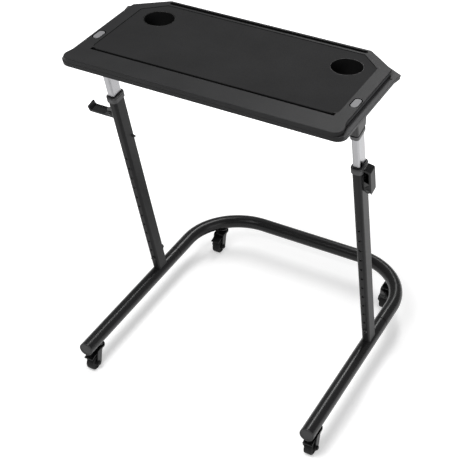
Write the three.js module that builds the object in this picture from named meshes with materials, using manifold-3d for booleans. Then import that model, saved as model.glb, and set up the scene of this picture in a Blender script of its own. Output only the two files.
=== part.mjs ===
// A rolling desk for a bicycle on an indoor trainer: a moulded desktop on two telescoping legs,
// clamped by cam levers, over a U-shaped tube base with four braked swivel casters.
// Millimetres, +Z up, +X to the rider's right, +Y away from the rider.
import * as THREE from "three";
import { mergeVertices } from "three/addons/utils/BufferGeometryUtils.js";
import Module from "manifold-3d";

const wasm = await Module();
wasm.setup();

// Driving dimensions

// Clearances shared by all pieces
const seat = 0.3; // between two pieces that seat on each other
const running = 1; // around a piece that slides or turns in another
const overrun = 12; // how far a cutter reaches past the faces it cuts
const weld = 0.0001; // points closer than this are one point

// Round base tubes
const baseTube = { radius: 22.5, wall: 2 };
const base = {
  halfSpan: 380, // from the middle to each side tube and leg
  frontReach: 457, // from the leg's foot forward to the open end
  seamReach: 95, // from the leg's foot back to the joint with the bent tube
  rearReach: 379, // from the leg's foot back to the crossbar
  bendRadius: 195,
};
const sleeve = { halfLength: 48, wall: 2 };
const endCap = { thickness: 4, edge: 2, plugLength: 16, plugWall: 2.5 };

// Oval leg tubes
const leanDegrees = 14.26; // the legs lean back over the open side of the base
const leg = { width: 27, depth: 50, cornerRadius: 9, wall: 2, length: 808.2 };
const stub = { wall: 2.5, length: 110 };
const indexHole = { radius: 4, first: 128, pitch: 43.6, count: 11 };
const footBolt = { radius: 4, height: 84, headRadius: 7.4, headHeight: 5, tail: 12 };
const footNut = { radius: 8, height: 8, flatCount: 6 };
const collar = {
  wall: 3.5,
  height: 20,
  lip: 5,
  edge: 1.5,
  tiltDegrees: 9, // its top lies nearer to level than the leg's own end would
};
const stopPin = {
  drop: 178.2, // below the leg's top
  setback: 16,
  headRadius: 4,
  headHeight: 8,
  headTaperShare: 0.7, // the knob narrows to this share, over the rest of its height
  shankRadius: 2.5,
  tip: 0.6, // how far the tip stands proud inside the leg
};

// Bright inner tubes that slide in the legs
const inner = { wall: 2, overlap: 377.5 }; // overlap: length inside the leg at rest
const guideSlot = { width: 8.5, setback: 10, above: 21.5, length: 190, end: 2 };
const travel = { down: 100, up: 190 };

// Cam lever latch, seen along its pin: outward from the leg and up the leg
const latch = {
  drop: 75.2, // the pin's place below the leg's top
  standoff: 13.4, // the pin's distance from the leg's side
  plateWall: 2,
  plateBelow: 8,
  plateAbove: 52,
  plateCorner: 4,
  cheekWall: 2,
  cheekHalfWidth: 12.7,
  cheekAbove: 48,
  cheekShoulder: 40, // the height at which the cheek starts to fall back to the plate
  eyeRadius: 6.5,
  slotWidth: 8,
  slotFoot: 9,
  slotTop: 33,
};
const lever = {
  wall: 2,
  webWall: 2.5,
  offset: 11.1, // from the pin to the outer face
  railDepth: 6,
  reach: 72, // from the pin to the foot of the hooked end
  hookRise: 4.5,
  hookDepth: 19,
  hookWall: 6,
  tipRadius: 1.5,
  noseRadius: 10.4,
  webStart: 12, // how far the web runs on past the pin
};
const cam = { clampedRadius: 9, freeRadius: 8 };
const latchPin = { radius: 3, headRadius: 4.5, headHeight: 1.5 };
const shoe = { halfHeight: 6, lip: 1.5, lipWall: 1.3 };

// Casters, measured from the floor below the swivel axis
const caster = { height: 81.5, frontSetback: 71, rearPlace: 325, trail: 33 };
const wheel = {
  radius: 26,
  halfWidth: 13,
  edge: 4,
  dishDepth: 3,
  rimWall: 6,
  hubRadius: 9,
  hubHalfWidth: 15.5,
};
const axle = { radius: 4, capRadius: 7.5, capHeight: 6 };
const fork = {
  halfWidth: 19,
  wall: 2.5,
  crownTop: 74,
  crownBack: 17,
  crownFront: 33,
  crownRim: 6,
  cheekTopBack: 10,
  cheekBack: 20,
  cheekFront: 43,
  cheekBottom: 16,
  corner: 7,
};
const race = { radius: 14.5, wall: 2.5 };
const stem = { radius: 5, rise: 22, flangeRadius: 11, headRadius: 9, headHeight: 3 };
const pedal = {
  pivotSetback: 19,
  pivotHeight: 61,
  pinRadius: 2.5,
  eyeRadius: 5,
  halfWidth: 15,
  reach: 62,
  toeHeight: 57,
  wall: 3,
  padWidth: 8,
};

// Desktop
const desk = {
  beyondLegs: 16, // from the middle of each leg out to the desktop's side
  cornerFlare: 8, // how much wider it is at its front corners
  front: 407,
  back: 12,
  flareFront: 378,
  flareBack: 342,
  chamferFront: 57,
  chamferAcross: 87.4,
  frontRadius: 24,
  cornerRadius: 8,
  shellHeight: 14,
  plate: 6.5,
  wall: 3,
  edge: 3.6,
};
const mat = {
  besideLegs: 20, // from the middle of each leg in to the mat
  front: 323,
  back: 17,
  chamferFront: 71,
  chamferAcross: 58,
  frontRadius: 16,
  cornerRadius: 5,
  thickness: 1.8,
  inset: 1.7, // how far the mat lies below the rim
};
const channel = { endInset: 4, width: 11.5, depth: 7, floor: 2.5, wall: 2.5 };
const deviceSlot = { endInset: 4.6, width: 12.5, front: 9.5, depth: 10, floor: 2.5, wall: 2.5 };
const cup = { inset: 75, setback: 96, radius: 45, depth: 56, wall: 2, corner: 6 };
const lozenge = { width: 19, depth: 42, rim: 0.9, plugWidth: 12, plugDepth: 34, plugLength: 20 };
const pan = {
  height: 13.7,
  floor: 2.5,
  flange: 18, // how far it stands out beside the desktop's sides
  shelf: 8, // flat top of the flange
  recessDepth: 3,
  blockReach: 5, // how far the blocks at its back corners stand out from the flange
  blockFront: 77,
  blockBack: 49,
  blockCorner: 4,
  front: 402.5,
  frontRadius: 30,
  backReach: 3.4,
  rimWall: 3,
};
const ring = { height: 10.7 };
const socket = {
  wall: 3,
  gapBelow: 112.5, // from the collar's top to the ring's foot, at rest
  length: 94.5, // from the ring's foot to the top of the inner tube
  shadowGap: 1.5, // between the ring and the bracket above it
  flangeWall: 4,
  flangeRim: 13,
  flangeCorner: 8,
};

// How finely round shapes are cut; what seats in a swept tube has a multiple of four sides
const sides = { tube: 20, bore: 12, hole: 8, wheel: 20, pin: 10, cap: 12, cup: 24 };
const cornerSteps = 3;
const smallCornerSteps = 2;
const bendSteps = 8;
const edgeSteps = 2;
const halfTurn = 180; // degrees
const quarterTurn = 90;

// Derived places

const lean = THREE.MathUtils.degToRad(leanDegrees);
const axisHeight = caster.height + baseTube.radius; // centre of the base tubes above the floor
const innerWidth = leg.width - 2 * (leg.wall + running);
const innerDepth = leg.depth - 2 * (leg.wall + running);
const innerCorner = leg.cornerRadius - leg.wall - running;
const collarTop = leg.length + seat + collar.lip;
const collarTilt = THREE.MathUtils.degToRad(collar.tiltDegrees);
const latchHeight = leg.length - latch.drop;
const stopHeight = leg.length - stopPin.drop;
const ringBottom = collarTop + socket.gapBelow;
const ringTop = ringBottom + ring.height;
const innerTop = ringBottom + socket.length;
const innerBottom = leg.length - inner.overlap;

// The desktop's plate lies just above the highest corner of the leaning inner tube
const plateUnderside =
  axisHeight + running + innerTop * Math.cos(lean) + (innerDepth / 2) * Math.sin(lean);
const waist = base.halfSpan + desk.beyondLegs; // half the desktop's width along its sides
const chamferEnd = waist - desk.chamferAcross;
const matHalfWidth = base.halfSpan - mat.besideLegs;
const channelHalfWidth = matHalfWidth - channel.endInset;
const deviceSlotHalfWidth = chamferEnd - deviceSlot.endInset;
const cupAcross = matHalfWidth - cup.inset;
const panHalfWidth = waist + pan.flange;
const deskHeight = plateUnderside + desk.plate; // the surface above the floor, at rest
const deskUnderside = deskHeight - desk.shellHeight - seat - pan.height;
const matTop = deskHeight - mat.inset;
const recessFloor = matTop - mat.thickness - seat;

// Where the leg's axis is at a height above the floor
function legPlace(height) {
  return -(height - axisHeight) * Math.tan(lean);
}

// Helpers that turn outlines into solids

function cleaned(geometry) {
  const points = geometry.index ? geometry.toNonIndexed() : geometry;
  const bare = new THREE.BufferGeometry();
  bare.setAttribute("position", points.getAttribute("position"));
  return mergeVertices(bare, weld);
}

function solid(geometry) {
  const merged = cleaned(geometry);
  return new wasm.Manifold(
    new wasm.Mesh({
      numProp: 3,
      vertProperties: merged.attributes.position.array,
      triVerts: new Uint32Array(merged.index.array),
    }),
  );
}

function geometryOf(made) {
  const cut = made.getMesh();
  const geometry = new THREE.BufferGeometry();
  geometry.setAttribute("position", new THREE.BufferAttribute(cut.vertProperties, cut.numProp));
  geometry.setIndex(new THREE.BufferAttribute(cut.triVerts, 1));
  return geometry;
}

function piece(name, made, material) {
  const geometry = geometryOf(made).toNonIndexed();
  geometry.computeVertexNormals();
  const mesh = new THREE.Mesh(geometry, material);
  mesh.name = name;
  return mesh;
}

// A closed outline with each corner [x, y, radius] rounded by an arc
function outline(corners, steps = cornerSteps) {
  const points = [];
  corners.forEach(([x, y, radius = 0], i) => {
    const here = new THREE.Vector2(x, y);
    const [px, py] = corners[(i + corners.length - 1) % corners.length];
    const [nx, ny] = corners[(i + 1) % corners.length];
    const toPrevious = new THREE.Vector2(px, py).sub(here).normalize();
    const toNext = new THREE.Vector2(nx, ny).sub(here).normalize();
    if (radius === 0) {
      points.push(here);
      return;
    }
    const half = Math.acos(toPrevious.dot(toNext)) / 2;
    const bisector = toPrevious.clone().add(toNext).normalize();
    const centre = here.clone().addScaledVector(bisector, radius / Math.sin(half));
    const from = here.clone().addScaledVector(toPrevious, radius / Math.tan(half)).sub(centre);
    const to = here.clone().addScaledVector(toNext, radius / Math.tan(half)).sub(centre);
    const start = from.angle();
    let sweep = to.angle() - start;
    sweep -= 2 * Math.PI * Math.round(sweep / (2 * Math.PI));
    for (let k = 0; k <= steps; k += 1) {
      const angle = start + (sweep * k) / steps;
      points.push(new THREE.Vector2(Math.cos(angle), Math.sin(angle)).multiplyScalar(radius).add(centre));
    }
  });
  return points;
}

// Points of an arc about a centre, from one angle to another, with a radius that may change evenly
function arc(x, y, fromRadius, toRadius, fromDegrees, toDegrees, steps) {
  return Array.from({ length: steps + 1 }, (_, k) => {
    const share = k / steps;
    const angle = THREE.MathUtils.degToRad(fromDegrees + (toDegrees - fromDegrees) * share);
    const radius = fromRadius + (toRadius - fromRadius) * share;
    return new THREE.Vector2(x + radius * Math.cos(angle), y + radius * Math.sin(angle));
  });
}

// A full circle whose lowest side is flat
function circle(radius, count, x = 0, y = 0) {
  return Array.from({ length: count }, (_, k) => {
    const angle = ((k + 0.5) / count) * 2 * Math.PI - Math.PI / 2;
    return new THREE.Vector2(x + radius * Math.cos(angle), y + radius * Math.sin(angle));
  });
}

// An upright oval section: a rectangle with round corners
function oval(width, depth, radius, steps = cornerSteps) {
  const w = width / 2;
  const d = depth / 2;
  return outline([[w, -d, radius], [w, d, radius], [-w, d, radius], [-w, -d, radius]], steps);
}

// A symmetrical outline, from the corners of its right half in order from front to back
function bothHalves(corners) {
  const mirrored = corners.map(([x, y, radius]) => [-x, y, radius]).reverse();
  return outline([...corners, ...mirrored]);
}

function shapeOf(points, holes = []) {
  const shape = new THREE.Shape(points);
  holes.forEach((hole) => shape.holes.push(new THREE.Path(hole)));
  return shape;
}

// An outline drawn out from one height to another
function upright(points, from, to, holes = []) {
  const drawn = new THREE.ExtrudeGeometry(shapeOf(points, holes), {
    depth: to - from,
    bevelEnabled: false,
  });
  return solid(drawn.translate(0, 0, from));
}

// As upright, with the upper edge rounded
function domed(points, from, to, edge) {
  const drawn = new THREE.ExtrudeGeometry(shapeOf(points), {
    depth: to - from,
    bevelThickness: edge,
    bevelSize: edge,
    bevelOffset: -edge,
    bevelSegments: edgeSteps,
  });
  const below = upright(outlineBox(points, edge), from - 2 * edge, from);
  return solid(drawn.translate(0, 0, from - edge)).subtract(below);
}

// A rectangle round all the points, with a margin
function outlineBox(points, margin) {
  const box = new THREE.Box2().setFromPoints(points).expandByScalar(margin);
  return rectangle(box.min.x, box.max.x, box.min.y, box.max.y);
}

function rectangle(x0, x1, y0, y1) {
  return [
    new THREE.Vector2(x0, y0),
    new THREE.Vector2(x1, y0),
    new THREE.Vector2(x1, y1),
    new THREE.Vector2(x0, y1),
  ];
}

// An outline in X and Z drawn out along Y
function alongY(points, from, to, holes = []) {
  const drawn = new THREE.ExtrudeGeometry(shapeOf(points, holes), {
    depth: to - from,
    bevelEnabled: false,
  });
  return solid(drawn.rotateX(Math.PI / 2).translate(0, to, 0));
}

// An outline in Y and Z drawn out along X
function alongX(points, from, to) {
  const drawn = new THREE.ExtrudeGeometry(shapeOf(points), {
    depth: to - from,
    bevelEnabled: false,
  });
  return solid(drawn.rotateX(Math.PI / 2).rotateZ(Math.PI / 2).translate(from, 0, 0));
}

function block(x0, x1, y0, y1, z0, z1) {
  return upright(rectangle(x0, x1, y0, y1), z0, z1);
}

// A turned piece about Z; the profile is a list of [radius, height], from the bottom axis up
function turned(profile, count) {
  const points = profile.map(([radius, height]) => new THREE.Vector2(radius, height));
  const lathe = new THREE.LatheGeometry(points, count);
  return solid(lathe.rotateX(Math.PI / 2).rotateZ(Math.PI / count));
}

function placed(made, matrix) {
  return solid(geometryOf(made).applyMatrix4(matrix));
}

function moved(made, x, y, z) {
  return placed(made, new THREE.Matrix4().makeTranslation(x, y, z));
}

// Turns about the three axes are given in degrees
function turnedAbout(made, x, y, z) {
  const angles = [x, y, z].map((degrees) => THREE.MathUtils.degToRad(degrees));
  return placed(made, new THREE.Matrix4().makeRotationFromEuler(new THREE.Euler(...angles)));
}

// Materials
function finish(color, roughness, metalness) {
  return new THREE.MeshStandardMaterial({ color, roughness, metalness });
}
const blackPaint = finish(0x38383a, 0.45, 0.3);
const blackSteel = finish(0x1c1c1e, 0.5, 0.5);
const bright = finish(0xb9bbbd, 0.3, 0.9);
const collarPlastic = finish(0x4c4d50, 0.6, 0);
const capPlastic = finish(0x2c2c2e, 0.6, 0);
const deskPlastic = finish(0x4a4a4d, 0.55, 0);
const panPlastic = finish(0x5e5e62, 0.55, 0);
const matRubber = finish(0x343436, 0.9, 0);
const wellPlastic = finish(0x101011, 0.5, 0);
const lozengePlastic = finish(0x909194, 0.5, 0);
const ringPlastic = finish(0x66676a, 0.5, 0);
const socketPaint = finish(0x303032, 0.5, 0.2);
const casterSteel = finish(0x202022, 0.45, 0.5);
const tyreRubber = finish(0x19191a, 0.8, 0);

// Base: side tubes, bent rear tube, joint sleeves and end caps

// Where each pair of casters stands: across, back, and the height of the tube above it
const rearBend = base.bendRadius;
const bendCentre = base.halfSpan - rearBend; // the bend's centre, across
const bendStart = base.rearReach - rearBend; // the bend's centre, back
const rearAcross = bendCentre + Math.sqrt(rearBend ** 2 - (caster.rearPlace - bendStart) ** 2);
const casterPlaces = {
  front: { x: base.halfSpan, y: -base.frontReach + caster.frontSetback },
  rear: { x: rearAcross, y: caster.rearPlace },
};

// The hole in a tube's underside that a caster's stem passes
function stemHole(place) {
  const hole = upright(circle(stem.radius + seat, sides.pin), 0, baseTube.radius + overrun);
  return moved(hole, place.x, place.y, axisHeight - baseTube.radius - overrun);
}

function tubeRing(outer, outerSides, innerRadius, innerSides) {
  return { points: circle(outer, outerSides), holes: [circle(innerRadius, innerSides)] };
}

function sideTube() {
  const { points, holes } = tubeRing(
    baseTube.radius, sides.tube, baseTube.radius - baseTube.wall, sides.bore,
  );
  const from = -base.frontReach + endCap.thickness + seat;
  const tube = alongY(points, from, base.seamReach - seat / 2, holes);
  return moved(tube, base.halfSpan, 0, axisHeight).subtract(stemHole(casterPlaces.front));
}

function jointSleeve() {
  const outer = baseTube.radius - baseTube.wall - seat;
  const { points, holes } = tubeRing(outer, sides.bore, outer - sleeve.wall, sides.bore);
  const from = base.seamReach - sleeve.halfLength;
  const tube = alongY(points, from, base.seamReach + sleeve.halfLength, holes);
  return moved(tube, base.halfSpan, 0, axisHeight);
}

// The bent tube's centreline, from one seam round to the other, with steps only where it bends
class BentLine extends THREE.Curve {
  constructor(z) {
    super();
    const at = (x, y) => new THREE.Vector3(x, y, z);
    const bend = arc(bendCentre, bendStart, rearBend, rearBend, 0, quarterTurn, bendSteps);
    const right = [at(base.halfSpan, base.seamReach + seat / 2), ...bend.map((p) => at(p.x, p.y))];
    const left = right.map((p) => at(-p.x, p.y)).reverse();
    this.points = [...right, ...left];
    this.tangents = this.points.map((_, i) => this.directionAt(i));
  }
  // Straight along the legs of the U and the crossbar, square to the radius in a bend
  directionAt(i) {
    const { x, y } = this.points[i];
    if (y <= bendStart) return new THREE.Vector3(0, x > 0 ? 1 : -1, 0);
    const side = Math.sign(x);
    return new THREE.Vector3(-(y - bendStart), side * (side * x - bendCentre) * side, 0)
      .multiply(new THREE.Vector3(1, side, 1))
      .normalize();
  }
  getPoint(t) {
    return this.points[Math.round(t * (this.points.length - 1))].clone();
  }
  getPointAt(t) {
    return this.getPoint(t);
  }
  getTangentAt(t) {
    return this.tangents[Math.round(t * (this.points.length - 1))].clone();
  }
}

function rearTube() {
  const line = new BentLine(axisHeight);
  const { points, holes } = tubeRing(
    baseTube.radius, sides.tube, baseTube.radius - baseTube.wall, sides.bore,
  );
  const swept = new THREE.ExtrudeGeometry(shapeOf(points, holes), {
    steps: line.points.length - 1,
    extrudePath: line,
    bevelEnabled: false,
  });
  const { x, y } = casterPlaces.rear;
  return solid(swept).subtract(stemHole({ x, y })).subtract(stemHole({ x: -x, y }));
}

function tubeEndCap() {
  const plug = baseTube.radius - baseTube.wall - seat;
  const profile = [
    [0, 0],
    [baseTube.radius - endCap.edge, 0],
    [baseTube.radius, endCap.edge],
    [baseTube.radius, endCap.thickness],
    [plug, endCap.thickness],
    [plug, endCap.thickness + endCap.plugLength],
    [plug - endCap.plugWall, endCap.thickness + endCap.plugLength],
    [plug - endCap.plugWall, endCap.thickness],
    [0, endCap.thickness],
  ];
  const cap = turnedAbout(turned(profile, sides.bore), -quarterTurn, 0, 0);
  return moved(cap, base.halfSpan, -base.frontReach, axisHeight);
}

// Legs, drawn in a frame that leans with them: X out to the side, Y front to back, Z up the leg

// A cutter the size of the round side tube, lying across the foot of the leg
function saddleCutter(clearance) {
  const reach = leg.depth + overrun;
  const tube = alongY(circle(baseTube.radius + clearance, sides.tube), -reach, reach);
  return turnedAbout(tube, -leanDegrees, 0, 0);
}

function roundHole(radius, from, to, height, count = sides.hole) {
  return moved(alongY(circle(radius, count), from, to), 0, 0, height);
}

const shoeHalfWidth = latch.cheekHalfWidth - latch.cheekWall - seat;

function shoeWindow() {
  const halfHeight = shoe.halfHeight + seat;
  const halfWidth = shoeHalfWidth + seat;
  const from = leg.width / 2 - leg.wall - running / 2;
  return block(
    from, from + overrun, -halfWidth, halfWidth, latchHeight - halfHeight, latchHeight + halfHeight,
  );
}

function stopPinHole(radius) {
  const from = -leg.width / 2 - overrun;
  const along = alongX(circle(radius, sides.hole), from, -leg.width / 2 + leg.cornerRadius);
  return moved(along, 0, stopPin.setback, stopHeight);
}

// A solid drawn about the middle of the leg's top, slanted so that it rises towards the front
function slanted(made) {
  const slant = new THREE.Matrix4().makeShear(0, 0, 0, -Math.tan(collarTilt), 0, 0);
  return placed(made, slant.setPosition(0, 0, leg.length));
}

function legTube() {
  const bore = oval(leg.width - 2 * leg.wall, leg.depth - 2 * leg.wall, leg.cornerRadius - leg.wall);
  let tube = upright(oval(leg.width, leg.depth, leg.cornerRadius), 0, leg.length + overrun, [bore]);
  const above = slanted(block(-leg.width, leg.width, -leg.depth, leg.depth, 0, leg.depth));
  tube = tube.subtract(above).subtract(saddleCutter(2 * seat));
  const front = -leg.depth / 2;
  for (let i = 0; i < indexHole.count; i += 1) {
    const height = indexHole.first + i * indexHole.pitch;
    tube = tube.subtract(
      roundHole(indexHole.radius, front - overrun, front + leg.wall + overrun, height),
    );
  }
  const across = leg.depth / 2 + overrun;
  tube = tube.subtract(roundHole(footBolt.radius + seat, -across, across, footBolt.height, sides.pin));
  return tube.subtract(shoeWindow()).subtract(stopPinHole(stopPin.shankRadius + seat));
}

function legStub() {
  const width = leg.width - 2 * (leg.wall + seat);
  const depth = leg.depth - 2 * (leg.wall + seat);
  const corner = leg.cornerRadius - leg.wall - seat;
  const bore = oval(width - 2 * stub.wall, depth - 2 * stub.wall, corner - stub.wall);
  const across = leg.depth / 2 + overrun;
  return upright(oval(width, depth, corner), 0, stub.length, [bore])
    .subtract(saddleCutter(seat))
    .subtract(roundHole(footBolt.radius + seat, -across, across, footBolt.height, sides.pin));
}

function legFootBolt() {
  const back = leg.depth / 2 + footBolt.tail;
  const head = -leg.depth / 2 - seat;
  const profile = [
    [0, head - footBolt.headHeight],
    [footBolt.headRadius / 2, head - footBolt.headHeight],
    [footBolt.headRadius, head - footBolt.headHeight / 2],
    [footBolt.headRadius, head],
    [footBolt.radius, head],
    [footBolt.radius, back],
    [0, back],
  ];
  const bolt = turnedAbout(turned(profile, sides.pin), -quarterTurn, 0, 0);
  return moved(bolt, 0, 0, footBolt.height);
}

function legFootNut() {
  const from = leg.depth / 2 + seat;
  const hexagon = circle(footNut.radius, footNut.flatCount);
  const bore = circle(footBolt.radius + seat, sides.pin);
  return moved(alongY(hexagon, from, from + footNut.height, [bore]), 0, 0, footBolt.height);
}

function legCollar() {
  const width = leg.width + 2 * collar.wall;
  const depth = leg.depth + 2 * collar.wall;
  const top = seat + collar.lip;
  const outside = domed(
    oval(width, depth, leg.cornerRadius + collar.wall), top - collar.height, top, collar.edge,
  );
  const legRoom = upright(
    oval(leg.width + 2 * seat, leg.depth + 2 * seat, leg.cornerRadius + seat),
    top - collar.height - overrun, seat,
  );
  const innerRoom = upright(
    oval(innerWidth + 2 * running, innerDepth + 2 * running, innerCorner + running),
    0, top + overrun,
  );
  return slanted(outside.subtract(legRoom).subtract(innerRoom));
}

function legStopPin() {
  const head = leg.width / 2 + seat;
  const inside = leg.width / 2 - leg.wall - stopPin.tip;
  const shank = alongX(circle(stopPin.shankRadius, sides.hole), inside, head + stopPin.headHeight / 2);
  const profile = [
    [0, 0],
    [stopPin.headRadius, 0],
    [stopPin.headRadius, stopPin.headHeight * stopPin.headTaperShare],
    [stopPin.headRadius * stopPin.headTaperShare, stopPin.headHeight],
    [0, stopPin.headHeight],
  ];
  const knob = moved(turnedAbout(turned(profile, sides.pin), 0, quarterTurn, 0), head, 0, 0);
  const pin = turnedAbout(shank.add(knob), 0, 0, halfTurn);
  return moved(pin, 0, stopPin.setback, stopHeight);
}

// Inner tube, with the guide slot that shows above the collar and the slot the stop pin runs in
function innerTube() {
  const bore = oval(innerWidth - 2 * inner.wall, innerDepth - 2 * inner.wall, innerCorner - inner.wall);
  const tube = upright(oval(innerWidth, innerDepth, innerCorner), innerBottom, innerTop, [bore]);
  const wallDepth = innerCorner - inner.wall;
  const outer = innerWidth / 2;
  const guideTop = collarTop + guideSlot.above;
  const guide = block(
    outer - wallDepth, outer + overrun,
    -guideSlot.setback - guideSlot.width / 2, -guideSlot.setback + guideSlot.width / 2,
    guideTop - guideSlot.length, guideTop,
  );
  const stopWidth = stopPin.shankRadius + seat;
  const stopRun = block(
    -outer - overrun, -outer + wallDepth, stopPin.setback - stopWidth, stopPin.setback + stopWidth,
    stopHeight - travel.up - guideSlot.end - stopWidth,
    stopHeight + travel.down + guideSlot.end + stopWidth,
  );
  return tube.subtract(guide).subtract(stopRun);
}

// Latch, drawn about its pin: X outward from the leg, Y front to back, Z up the leg
const pinOut = leg.width / 2 + latch.standoff;
const plateIn = -latch.standoff + seat;
const plateOut = plateIn + latch.plateWall;

// The cheek's eye runs round the pin from below it to the cheek's straight outer edge
const eyeShares = { from: -0.28, to: 0 }; // of half a turn, from the outward direction

function latchBase() {
  const half = latch.cheekHalfWidth;
  const { eyeRadius, plateBelow, cheekAbove, cheekShoulder } = latch;
  const eye = arc(
    0, 0, eyeRadius, eyeRadius, eyeShares.from * halfTurn, eyeShares.to * halfTurn, cornerSteps,
  );
  const cheek = [
    new THREE.Vector2(plateIn, cheekAbove),
    new THREE.Vector2(plateIn, -plateBelow),
    new THREE.Vector2(plateOut, -plateBelow),
    ...eye,
    new THREE.Vector2(eyeRadius, cheekShoulder),
    new THREE.Vector2(plateOut, cheekAbove),
  ];
  const middle = (plateOut + lever.offset - lever.railDepth) / 2;
  const { slotWidth } = latch;
  const slot = outline([
    [middle + slotWidth / 2, latch.slotFoot, slotWidth / 2 - seat],
    [middle + slotWidth / 2, latch.slotTop, slotWidth / 2 - seat],
    [middle - slotWidth / 2, latch.slotTop, slotWidth / 2 - seat],
    [middle - slotWidth / 2, latch.slotFoot, slotWidth / 2 - seat],
  ], smallCornerSteps);
  const between = block(
    plateOut, latch.standoff + overrun, -half + latch.cheekWall, half - latch.cheekWall,
    -latch.standoff - overrun, cheekAbove + overrun,
  );
  const plate = oval(latch.plateAbove + plateBelow, 2 * half, latch.plateCorner, smallCornerSteps);
  const standing = turnedAbout(upright(plate, 0, latch.plateWall), 0, -quarterTurn, 0);
  const backPlate = moved(standing, plateOut, 0, (latch.plateAbove - plateBelow) / 2);
  const windowHalf = shoe.halfHeight + seat;
  const window = block(
    plateIn - overrun, plateOut + seat, -shoeHalfWidth - seat, shoeHalfWidth + seat,
    -windowHalf, windowHalf,
  );
  return alongY(cheek, -half, half)
    .subtract(alongY(slot, -half - overrun, half + overrun))
    .subtract(between)
    .add(backPlate)
    .subtract(window)
    .subtract(roundHole(latchPin.radius + seat, -half - overrun, half + overrun, 0, sides.pin));
}

const leverHalf = latch.cheekHalfWidth + seat + lever.wall;
const camBackShare = 0.92; // of half a turn, where the cam's plain back meets its working face

function latchLever() {
  const webIn = lever.offset - lever.webWall;
  const railIn = lever.offset - lever.railDepth;
  const tipIn = lever.offset - lever.hookDepth;
  const tipTop = lever.reach + lever.hookRise;
  const hookFoot = lever.reach - lever.hookWall;
  const rise = (x) => ((lever.offset - x) * lever.hookRise) / lever.hookDepth;
  const slant = lever.noseRadius * Math.SQRT1_2;
  const arm = outline([
    [lever.offset, -lever.webStart],
    [lever.offset, lever.reach, lever.hookWall],
    [tipIn, tipTop, lever.tipRadius],
    [tipIn, tipTop - lever.hookWall, lever.tipRadius],
    [railIn, hookFoot + rise(railIn), lever.hookWall],
    [railIn, railIn + 2 * slant, lever.noseRadius],
    [-slant, slant],
    [0, 0],
    [slant, -slant],
  ]);
  const far = lever.hookDepth + overrun;
  const channelRoom = [
    new THREE.Vector2(-far, -far),
    new THREE.Vector2(far, -far),
    new THREE.Vector2(far, -lever.webStart),
    new THREE.Vector2(webIn, -lever.webStart),
    new THREE.Vector2(webIn, hookFoot + rise(webIn)),
    new THREE.Vector2(-far, hookFoot + rise(-far)),
  ];
  const room = leverHalf - lever.wall;
  const { clampedRadius, freeRadius } = cam;
  const camShape = [
    ...arc(0, 0, clampedRadius, freeRadius, halfTurn, halfTurn + quarterTurn, 2 * cornerSteps),
    new THREE.Vector2(webIn + seat, -freeRadius),
    new THREE.Vector2(webIn + seat, clampedRadius),
    ...arc(0, 0, clampedRadius, clampedRadius, quarterTurn, camBackShare * halfTurn, cornerSteps),
  ];
  return alongY(arm, -leverHalf, leverHalf)
    .add(alongY(circle(lever.noseRadius, sides.cap), -leverHalf, leverHalf))
    .subtract(alongY(channelRoom, -room, room))
    .add(alongY(camShape, -shoeHalfWidth, shoeHalfWidth))
    .subtract(roundHole(latchPin.radius + seat, -far, far, 0, sides.pin));
}

function latchHingePin() {
  const half = leverHalf + seat;
  const profile = [
    [0, -half - latchPin.headHeight],
    [latchPin.headRadius, -half - latchPin.headHeight],
    [latchPin.headRadius, -half],
    [latchPin.radius, -half],
    [latchPin.radius, half],
    [latchPin.headRadius, half],
    [latchPin.headRadius, half + latchPin.headHeight],
    [0, half + latchPin.headHeight],
  ];
  return turnedAbout(turned(profile, sides.pin), -quarterTurn, 0, 0);
}

// The shoe as it lies when the lever is clamped, drawn about the pin
function latchShoe() {
  const out = -cam.clampedRadius - seat;
  const inEnd = innerWidth / 2 + seat - pinOut;
  const half = shoeHalfWidth;
  const pad = block(inEnd, out, -half, half, -shoe.halfHeight, shoe.halfHeight);
  const lip = shoe.halfHeight + shoe.lip;
  return pad.add(block(out - shoe.lipWall, out, -half, half, -lip, lip));
}

// Casters, drawn about the point on the floor below the swivel axis; the wheel leads to the front

const wheelFlat = wheel.radius / Math.cos(Math.PI / sides.wheel); // so that the flats reach the floor

function casterWheel() {
  const rim = wheelFlat - wheel.rimWall;
  const dish = wheel.halfWidth - wheel.dishDepth;
  const bore = axle.radius + seat;
  const half = [
    [wheelFlat, wheel.halfWidth - wheel.edge],
    [wheelFlat - wheel.edge, wheel.halfWidth],
    [rim, wheel.halfWidth],
    [wheel.hubRadius, dish],
    [wheel.hubRadius, wheel.hubHalfWidth],
    [bore, wheel.hubHalfWidth],
  ];
  const mirrored = half.map(([radius, across]) => [radius, -across]).reverse();
  const profile = [...mirrored, ...half, mirrored[0]];
  const round = turnedAbout(turned(profile, sides.wheel), 0, quarterTurn, 0);
  return moved(round, 0, -caster.trail, wheel.radius);
}

function casterAxle() {
  const out = fork.halfWidth + seat;
  const half = [
    [axle.radius, out],
    [axle.capRadius, out],
    [axle.capRadius, out + axle.capHeight / 2],
    [axle.capRadius / 2, out + axle.capHeight],
    [0, out + axle.capHeight],
  ];
  const mirrored = half.map(([radius, across]) => [radius, -across]).reverse();
  const round = turnedAbout(turned([...mirrored, ...half], sides.pin), 0, quarterTurn, 0);
  return moved(round, 0, -caster.trail, wheel.radius);
}

const raceTop = caster.height - 2 * seat - race.wall;

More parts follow.
